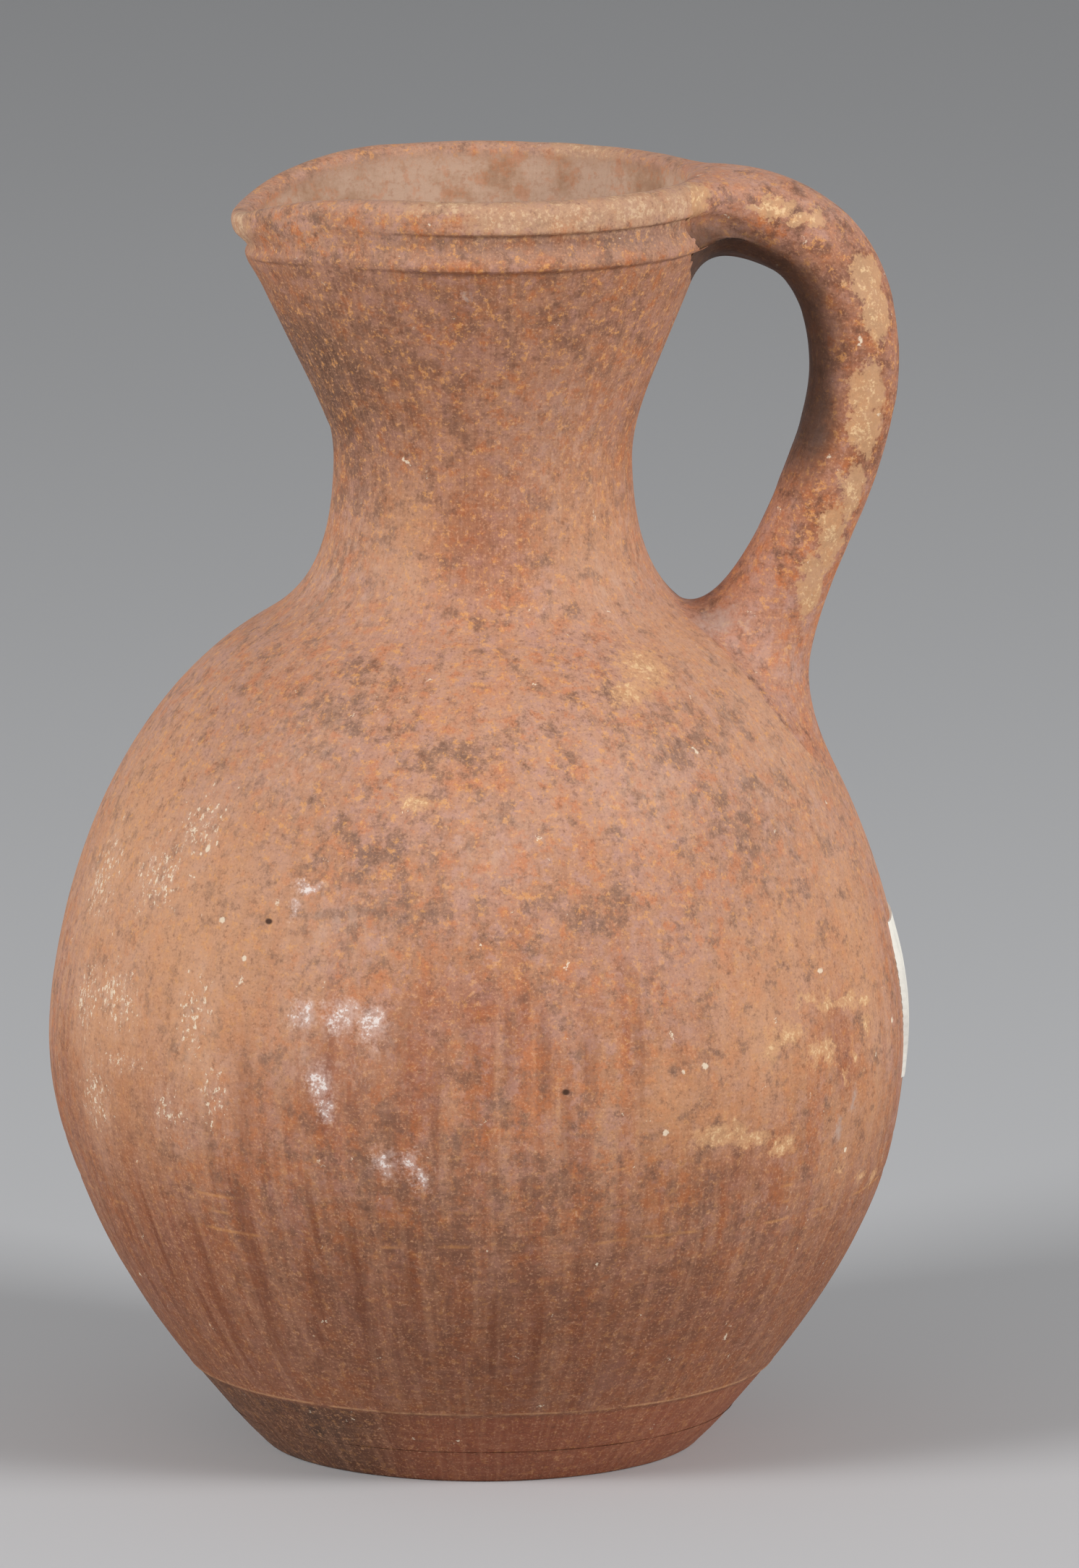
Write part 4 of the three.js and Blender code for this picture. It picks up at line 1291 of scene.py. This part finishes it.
class ClayPainter:
    """Lays the tones of one clay finish over each other in a shader tree."""

    def __init__(self, tones: ClayFinish, wiring: Wiring, effects: Effects, form: JugForm) -> None:
        """Adds the places and patterns that the layers read.

        Args:
            tones: The finish, with its tones and its marks.
            wiring: The tree to add to.
            effects: The shared groups.
            form: The shape that marks are placed on.
        """
        self.tones, self.wiring, self.effects, self.form = tones, wiring, effects, form
        self.place = wiring.place()
        self.side, _, self.height = wiring.split(self.place)
        self.lie, self.inside = (
            wiring.add("ShaderNodeAttribute", {}, attribute_name=name).outputs[output]
            for name, output in (("lie", "Vector"), ("inside", "Fac"))
        )
        self.wide = self.strokes(3.6, 44.0, 0.43, 0.62)
        self.narrow = self.strokes(1.0, 13.0, 0.46, 0.68)
        self.cross = wiring.noise(wiring.vector("MULTIPLY", self.place, (0.2, 0.2, 1.5)), 1.0, 2.5, 0.6)
        self.clouds = wiring.noise(self.place, 0.085, 6.0, 0.68)
        self.cloud = wiring.band(self.clouds, 0.48, 0.64)
        self.grain = wiring.noise(self.place, 0.8, 3.5, 0.72)
        self.fine = wiring.noise(self.place, 2.4, 2.0, 0.6)
        self.warmth = self.moved_noise((71.0, 13.0, 29.0), 0.32, 5.0, 0.7)
        self.ragged = self.ragged_place()
        broad = wiring.group(effects.cloud, Place=self.place, Size=36.0, Low=0.4, High=0.62)
        self.colour = wiring.mix(broad, tones.mid, tones.pale)

    def strokes(self, width: float, length: float, low: float, high: float) -> Socket:
        """Gives the mask of long strokes of one size."""
        return self.wiring.group(
            self.effects.strokes, Lie=self.lie, Width=width, Length=length, Low=low, High=high)

    def line(self, height: float, width: float, wander: float, gaps: float) -> Socket:
        """Gives the mask of one broken level line."""
        return self.wiring.group(
            self.effects.line, Place=self.place, Height=height, Width=width, Wander=wander, Gaps=gaps)

    def moved_noise(self, shift: tuple, *settings: float) -> Socket:
        """Gives a noise pattern that is unlike the unshifted ones."""
        return self.wiring.noise(self.wiring.vector("ADD", self.place, shift), *settings)

    def ragged_place(self) -> Socket:
        """Shifts places by a few millimetres, so that patches get ragged edges."""
        noise = self.wiring.add("ShaderNodeTexNoise", {
            "Vector": self.place, "Scale": 0.3, "Detail": 5.0, "Roughness": 0.7,
        })
        shift = self.wiring.vector("SUBTRACT", noise.outputs["Color"], (0.5, 0.5, 0.5))
        return self.wiring.vector("MULTIPLY_ADD", shift, (7.0, 7.0, 7.0), self.place)

    def lay(self, *layers: tuple) -> None:
        """Lays tones over the colour, each given with its share and the mask of where it is."""
        for tone, share, mask in layers:
            self.colour = self.wiring.mix(self.wiring.times(mask, share), self.colour, tone)

    def patches(self, marks_on: Sequence, soft: float, place: object = None) -> object:
        """Joins patches into one mask.

        Args:
            marks_on: The patches.
            soft: How soft their edges are.
            place: The places that they are measured in, or none for the ragged ones.

        Returns:
            The mask, or 0 where there are no patches.
        """
        joined: object = 0.0
        for mark in marks_on:
            mask = self.wiring.group(
                self.effects.patch, Place=self.ragged if place is None else place,
                Centre=mark.centre(self.form), Reach=(mark.across, mark.across, mark.up), Soft=soft,
            )
            joined = self.wiring.math("MAXIMUM", mask, joined)
        return joined

    def broken(self, area: object, low: float, high: float,
               *noises: tuple[Socket, float]) -> Socket:
        """Breaks up the edge of an area.

        Args:
            area: The mask of the area.
            low: Where the new mask begins.
            high: Where it is full.
            noises: Noise patterns, each with how much it counts.

        Returns:
            The new mask.
        """
        for noise, amount in noises:
            area = self.wiring.math("ADD", area, self.wiring.scaled(noise, amount, -amount / 2))
        return self.wiring.band(area, low, high)

    def paint(self) -> None:
        """Lays every layer, outside and inside, and links the result to the shader."""
        wiring, tones, band, scaled = self.wiring, self.tones, self.wiring.band, self.wiring.scaled
        low_half = band(self.height, 100.0, 76.0)
        warm = scaled(low_half, -0.2, 0.84)
        # Faces that point up are paler.
        up = wiring.split(wiring.add("ShaderNodeTexCoord", {}).outputs["Normal"])[2]
        # Patches of painted light.
        painted_light = self.patches(tones.painted_light, 0.9)
        self.lay(
            (tones.red, scaled(low_half, 0.42, 0.2), self.wide),
            (tones.streak, scaled(low_half, 0.44, 0.1), self.strokes(2.0, 42.0, 0.48, 0.64)),
            (tones.mauve, 0.5, self.cloud), (tones.orange, 0.45, band(self.clouds, 0.47, 0.34)),
            (tones.mauve, warm, band(self.warmth, 0.51, 0.64)),
            (tones.orange, warm, band(self.warmth, 0.49, 0.36)),
            (tones.tan, 0.6, painted_light), (tones.upward_tone, tones.top_share, band(up, -0.1, 0.7)),
        )
        self.lay_soot_and_shade()
        # More painted light on the left side.
        self.lay((tones.tan, 0.3, wiring.times(painted_light, band(self.side, -14.0, -26.0))))
        self.lay_lower()
        self.lay(
            (tones.bright, 0.14, self.narrow), (tones.bright, 0.1, band(self.cross, 0.52, 0.68)),
            (tones.brown, 0.1, band(self.cross, 0.46, 0.32)),
            (tones.ochre, scaled(band(self.height, 64.0, 116.0), 0.42, 0.26), band(self.grain, 0.54, 0.67)),
            (tones.brown, 0.46, band(self.grain, 0.46, 0.3)),
            (tones.bright, 0.42, band(self.fine, 0.54, 0.7)),
            (tones.brown, 0.32, band(self.fine, 0.44, 0.3)),
        )
        self.lay_marks()
        if tones.under_shade:
            self.lay_under()
        outside = self.colour
        self.colour = wiring.mix(self.cloud, tones.inner_tone, tones.inner_dark)
        self.lay(
            (tones.orange, 0.3, band(self.warmth, 0.5, 0.4)),
            (tones.brown, 0.3, band(self.clouds, 0.58, 0.7)),
            (tones.mid, 0.4, band(self.grain, 0.5, 0.66)),
        )
        rough = scaled(self.inside, 0.15, scaled(self.fine, 0.14, scaled(self.wide, -0.07, 0.62)))
        stand = wiring.times(self.wide, 0.5)
        for pattern, share in ((self.narrow, 0.25), (self.cross, 0.4), (self.grain, 0.7), (self.fine, 0.4)):
            stand = scaled(pattern, share, stand)
        colour = wiring.mix(self.inside, outside, self.colour)
        wiring.dress(colour, rough, 0.22, (0.6, 0.00018, stand))

    def lay_soot_and_shade(self) -> None:
        """Lays the smoky mottling with its darker grains, thicker in some patches, and the embers; some
        patches are partly painted shade.
        """
        wiring, tones = self.wiring, self.tones
        smoke = self.moved_noise((-37.0, 51.0, 83.0), 0.26, 5.0, 0.72)
        thick = wiring.scaled(self.patches(tones.soot_and_shade, 0.95), 0.1, smoke)
        grains = wiring.scaled(self.grain, -0.26, wiring.math("ADD", thick, 0.13))
        self.lay(
            (tones.soot_and_shade_veil, 0.6, wiring.band(thick, 0.5, 0.66)),
            (tones.soot_grain_and_groove_shade, 0.5, wiring.band(grains, 0.54, 0.76)),
            (tones.ember_tone, 0.42, self.patches(tones.ember, 0.85)),
        )

    def lay_under(self) -> None:
        """Darkens the side of the handle that faces the neck, most of all in its bend, as painted shade
        that is partly sooty.
        """
        facing = self.wiring.scaled(self.clouds, 7.0, self.wiring.split(self.lie)[0])
        bend = self.wiring.band(self.height, 150.0, 164.0)
        mask = self.wiring.times(self.wiring.band(facing, 3.4, -1.8), bend)
        self.lay((self.tones.under_shade_tone, self.tones.under_shade, mask))

    def lay_lower(self) -> None:
        """Darkens the lower wall, the neck and the band below the turning line, mostly as painted shade."""
        tones, band, times = self.tones, self.wiring.band, self.wiring.times
        side, height = self.side, self.height
        # The foot band turns to painted shade on its left side.
        foot_tone = self.wiring.mix(band(side, -6.0, -22.0), tones.foot_tone, tones.foot_shade)
        # Painted shade on the left side of the neck.
        shade = times(band(height, 150.0, 170.0), band(side, -8.0, -27.0), band(height, 191.0, 176.0))
        self.lay(
            # Painted shade, darker toward the bottom of the lower wall.
            (tones.low_shade_tone, 0.7, band(height, 74.0, 26.0)),
            # Painted shade on the neck under the overhanging funnel.
            (tones.neck_shade_tone, 0.36, times(band(height, 138.0, 168.0), band(height, 199.0, 190.0))),
            (tones.foot_shade, 0.66, shade),
            (foot_tone, self.wiring.scaled(self.cloud, 0.24, 0.62), band(height, 13.4, 12.6)),
            (tones.buff, 0.55, self.line(13.6, 0.32, 0.5, 0.36)),
        )
        if tones.slot is Slot.RIM:
            # Painted shade in the groove under the lip, stronger toward the right.
            hollow = times(band(height, 195.0, 197.4), band(height, 199.5, 199.0), band(side, -22.0, 0.0))
            self.lay((tones.soot_grain_and_groove_shade, 0.45, hollow))

    def lay_marks(self) -> None:
        """Lays dusty veils with painted sheen, drips, wear, lime, grit and pits, in that order."""
        wiring, tones, grain, fine = self.wiring, self.tones, self.grain, self.fine
        flecked = self.patches(tones.flecked, 0.8)
        # Dusty veils, partly painted sheen.
        dust_and_sheen = wiring.math("MAXIMUM", self.patches(tones.dust_and_sheen, 0.9), flecked)
        dusty = wiring.noise(wiring.vector("MULTIPLY", self.place, (1.0, 1.0, 0.5)), 0.7, 4.0, 0.72)
        ash = self.broken(self.patches(tones.ash, 0.8), 0.2, 1.3, (grain, 1.0), (fine, 0.6))
        veil = wiring.scaled(wiring.band(dusty, 0.46, 0.66), 0.34, 0.1)
        self.lay((tones.dust_and_sheen_tone, veil, dust_and_sheen), (tones.ash_tone, 0.6, ash))
        sway = wiring.scaled(dusty, 1.6, -0.8)
        sways = wiring.add("ShaderNodeCombineXYZ", {0: sway, 1: sway}).outputs[0]
        lie = wiring.vector("ADD", self.lie, sways)
        for rows, share in ((tones.drips, 0.42), (tones.streaks, 0.22)):
            runs = self.patches([mark.run(self.form) for mark in rows], 0.65, lie)
            self.lay((tones.drip_tone, share, self.broken(runs, 0.15, 0.95, (grain, 1.3))))
        worn = self.patches(tones.worn, 0.7)
        low, high, coarse = tones.wear_edge
        self.lay(
            (tones.buff, 0.66, self.broken(worn, low, high, (grain, coarse), (fine, coarse / 2))),
            (tones.scraped, 0.7, self.broken(worn, 0.92, 1.35, (grain, 2.2), (fine, 1.3))),
        )
        for height, gaps in ((44.4, 0.5), (50.2, 0.56), (56.5, 0.6), (47.5, 0.6)):
            self.lay((tones.ochre, 0.35, self.line(height, 0.45, 3.0, gaps)))
        lime = self.patches(tones.lime, 0.9)
        flecks = wiring.noise(wiring.vector("MULTIPLY", self.place, (1.3, 1.3, 0.9)), 1.0, 4.0, 0.74)
        start = wiring.scaled(flecked, -0.24, 0.78)
        self.lay(
            (tones.film, 0.55, self.broken(lime, 0.15, 1.1, (grain, 1.4), (fine, 1.0))),
            (tones.white, 0.8, self.broken(lime, 0.86, 1.15, (grain, 2.0), (fine, 1.0))),
            (tones.cream, 0.85, wiring.band(flecks, start, wiring.math("ADD", start, 0.06))),
        )
        for spacing, size, share, strong in ((4.2, 0.62, 0.17, 0.85), (2.7, 0.4, 0.14, 0.6)):
            grit = wiring.group(
                self.effects.grit, Place=self.ragged, Spacing=spacing, Size=size, Share=share)
            self.lay((tones.cream, strong, grit))
        dots = self.patches(tones.dots, 0.5, self.place)
        self.lay(
            (tones.cream, 0.8, self.broken(dots, 0.35, 0.9, (fine, 1.4))),
            (tones.pit_tone, 1.0, self.patches(tones.pits, 0.35, self.place)),
        )


@dataclass(frozen=True)
class PaperFinish:
    """Aged white paper, a little grubby."""

    sheet: tuple = paint(234, 230, 219)
    grubby: tuple = paint(190, 184, 178)

    def build(self, effects: Effects) -> bpy.types.Material:
        """Builds the material."""
        material, wiring = new_material(Slot.PAPER.value)
        place = wiring.place()
        stain = wiring.group(effects.cloud, Place=place, Size=7.0, Low=0.4, High=0.75)
        low = wiring.band(wiring.split(place)[2], 76.0, 66.0)
        share = wiring.scaled(low, 0.35, wiring.times(stain, 0.4))
        fibres = wiring.noise(place, 3.0, 3.0, 0.7)
        colour = wiring.mix(share, self.sheet, self.grubby)
        wiring.dress(colour, wiring.scaled(fibres, 0.15, 0.78), 0.25, (0.4, 0.00005, fibres))
        return material


@dataclass
class Studio:
    """The camera, the pale floor and the soft lamps."""

    camera_place: tuple[float, float, float] = (0.009, -2.5548, 0.5885)
    camera_pitch: float = 10.7
    lens: float = 375.2
    middle: tuple[float, float, float] = (0.0, 0.0, 0.1)
    floor_reach: float = 6.0

    def build(self) -> None:
        """Builds all of it."""
        self.build_camera()
        self.build_floor()
        self.add_lamp("key_lamp", (-1.45, -1.05, 0.95), 0.7, 28.5)
        self.add_lamp("side_lamp", (1.62, -0.87, 0.9), 0.7, 31.0)
        self.build_world()

    def build_camera(self) -> None:
        """Builds the camera at the place estimated for the photograph."""
        data = bpy.data.cameras.new("camera")
        data.sensor_width = 36.0
        data.lens = self.lens
        data.clip_end = 50.0
        camera = bpy.data.objects.new("camera", data)
        camera.location = self.camera_place
        camera.rotation_euler = (math.radians(90 - self.camera_pitch), 0, 0)
        bpy.context.scene.collection.objects.link(camera)
        bpy.context.scene.camera = camera

    def build_floor(self) -> None:
        """Builds the floor, a wide pale disc."""
        maker = bmesh.new()
        bmesh.ops.create_circle(maker, cap_ends=True, segments=96, radius=self.floor_reach)
        floor = mesh_piece("floor", maker)
        material, wiring = new_material("floor_paint")
        shader = material.node_tree.nodes["Principled BSDF"]
        spot = wiring.add("ShaderNodeTexCoord", {}).outputs["Object"]
        tone = wiring.mix(wiring.noise(spot, 1.5), paint(192, 193, 195), paint(197, 198, 200))
        wiring.tree.links.new(tone, shader.inputs["Base Color"])
        shader.inputs["Roughness"].default_value = 0.9
        shader.inputs["Specular IOR Level"].default_value = 0.1
        floor.data.materials.append(material)

    def add_lamp(self, name: str, place: tuple, size: float, power: float) -> None:
        """Adds one soft square lamp that faces the jug."""
        data = bpy.data.lights.new(name, "AREA")
        data.size = size
        data.energy = power
        lamp = bpy.data.objects.new(name, data)
        lamp.location = place
        away = Vector(self.middle) - Vector(place)
        lamp.rotation_euler = away.to_track_quat("-Z", "Y").to_euler()
        bpy.context.scene.collection.objects.link(lamp)

    def build_world(self) -> None:
        """Builds the even light all round, and the pale backdrop that the camera sees."""
        world = bpy.data.worlds.new("studio")
        world.use_nodes = True
        bpy.context.scene.world = world
        wiring = Wiring(world.node_tree)
        nodes = world.node_tree.nodes
        light = nodes["Background"]
        light.inputs["Color"].default_value = (1.0, 1.0, 1.0, 1.0)
        light.inputs["Strength"].default_value = 0.22
        shown = wiring.add("ShaderNodeBackground", {"Color": paint(225, 226, 228), "Strength": 1.0})
        rays = wiring.add("ShaderNodeLightPath", {})
        both = wiring.math("MAXIMUM", rays.outputs["Is Camera Ray"], rays.outputs["Is Glossy Ray"])
        joined = wiring.add("ShaderNodeMixShader", {
            0: both, 1: light.outputs[0], 2: shown.outputs[0],
        })
        wiring.tree.links.new(joined.outputs[0], nodes["World Output"].inputs["Surface"])


def place_piece(piece: bpy.types.Object, node: str, slot: Slot, material: bpy.types.Material) -> None:
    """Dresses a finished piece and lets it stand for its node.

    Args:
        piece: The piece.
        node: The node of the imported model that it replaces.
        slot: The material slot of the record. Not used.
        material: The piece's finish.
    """
    piece.data.materials.clear()
    piece.data.materials.append(material)
    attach(piece, "root")
    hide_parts(node)
    log.info("%s stands for %s: %d faces", piece.name, node, len(piece.data.polygons))


def main() -> None:
    """Builds the jug, its finishes and the studio."""
    logging.basicConfig(level=logging.INFO, format="%(name)s: %(message)s")
    form = JugForm()
    effects = Effects()
    finishes = {
        Slot.FOOT: ClayFinish(
            Slot.FOOT, soot_and_shade=between(SOOT_AND_SHADE, 0, 62), flecked=between(FLECKED, 0, 80), drips=DRIPS,
            ember=between(EMBER, 0, 60),
        ),
        Slot.BURNISHED: ClayFinish(
            Slot.BURNISHED, soot_and_shade=SOOT_AND_SHADE, worn=WORN, lime=LIME, dust_and_sheen=DUST_AND_SHEEN, drips=DRIPS, pits=PITS,
            streaks=STREAKS, flecked=FLECKED, painted_light=PAINTED_LIGHT, ember=EMBER, ash=ASH, dots=DOTS,
        ),
        Slot.RIM: ClayFinish(
            Slot.RIM, soot_and_shade=between(SOOT_AND_SHADE, 170, form.height), worn=RIM_WEAR, ash=ASH[:1],
            top_share=0.5, mid=paint(162, 116, 88), pale=paint(178, 134, 108),
            buff=paint(190, 150, 118), scraped=paint(214, 182, 148), upward_tone=paint(184, 146, 126),
        ),
        Slot.HANDLE: ClayFinish(
            Slot.HANDLE, soot_and_shade=HANDLE_SOOT_AND_SHADE + between(SOOT_AND_SHADE, 100, 125),
            worn=HANDLE_WEAR + RIM_WEAR[3:5], dust_and_sheen=HANDLE_DUST_AND_SHEEN, ash=HANDLE_ASH, under_shade=0.85,
            mid=paint(165, 109, 80), pale=paint(177, 124, 97), soot_and_shade_veil=paint(112, 74, 58),
            soot_grain_and_groove_shade=paint(78, 56, 48), wear_edge=(0.3, 0.62, 0.8), buff=paint(204, 160, 118),
            dust_and_sheen_tone=paint(194, 158, 142),
        ),
    }
    materials = {slot: finish.build(effects, form) for slot, finish in finishes.items()}
    materials[Slot.PAPER] = PaperFinish().build(effects)
    jug = Jug(form)
    handle = Handle(form)
    place_piece(jug.base_disc(), "base_disc", Slot.FOOT, materials[Slot.FOOT])
    joints = (
        form.base_thickness, form.seam, form.belly_joint, form.shoulder_joint, form.root_joint,
        form.neck_joint, form.funnel_joint, form.rim_joint,
    )
    bands = ("lower_wall", "lower_belly", "upper_belly", "shoulder", "neck_root", "neck", "mouth_funnel")
    for node, low, high in zip(bands, joints, joints[1:]):
        slot = Slot.FOOT if high == form.seam else Slot.BURNISHED
        place_piece(jug.band(f"{node}_skin", low, high), node, slot, materials[slot])
    for piece, node, slot in (
        (jug.rim_band(), "rim_band", Slot.RIM), (handle.build_bar(), "handle", Slot.HANDLE),
        (handle.build_luting(True), "upper_handle_luting", Slot.HANDLE),
        (handle.build_luting(False), "lower_handle_luting", Slot.HANDLE),
        (PaperLabel(form).build(), "paper_label", Slot.PAPER),
    ):
        place_piece(piece, node, slot, materials[slot])
    Studio().build()
    bpy.context.scene.view_settings.view_transform = "Standard"


if __name__ == "__main__":
    main()
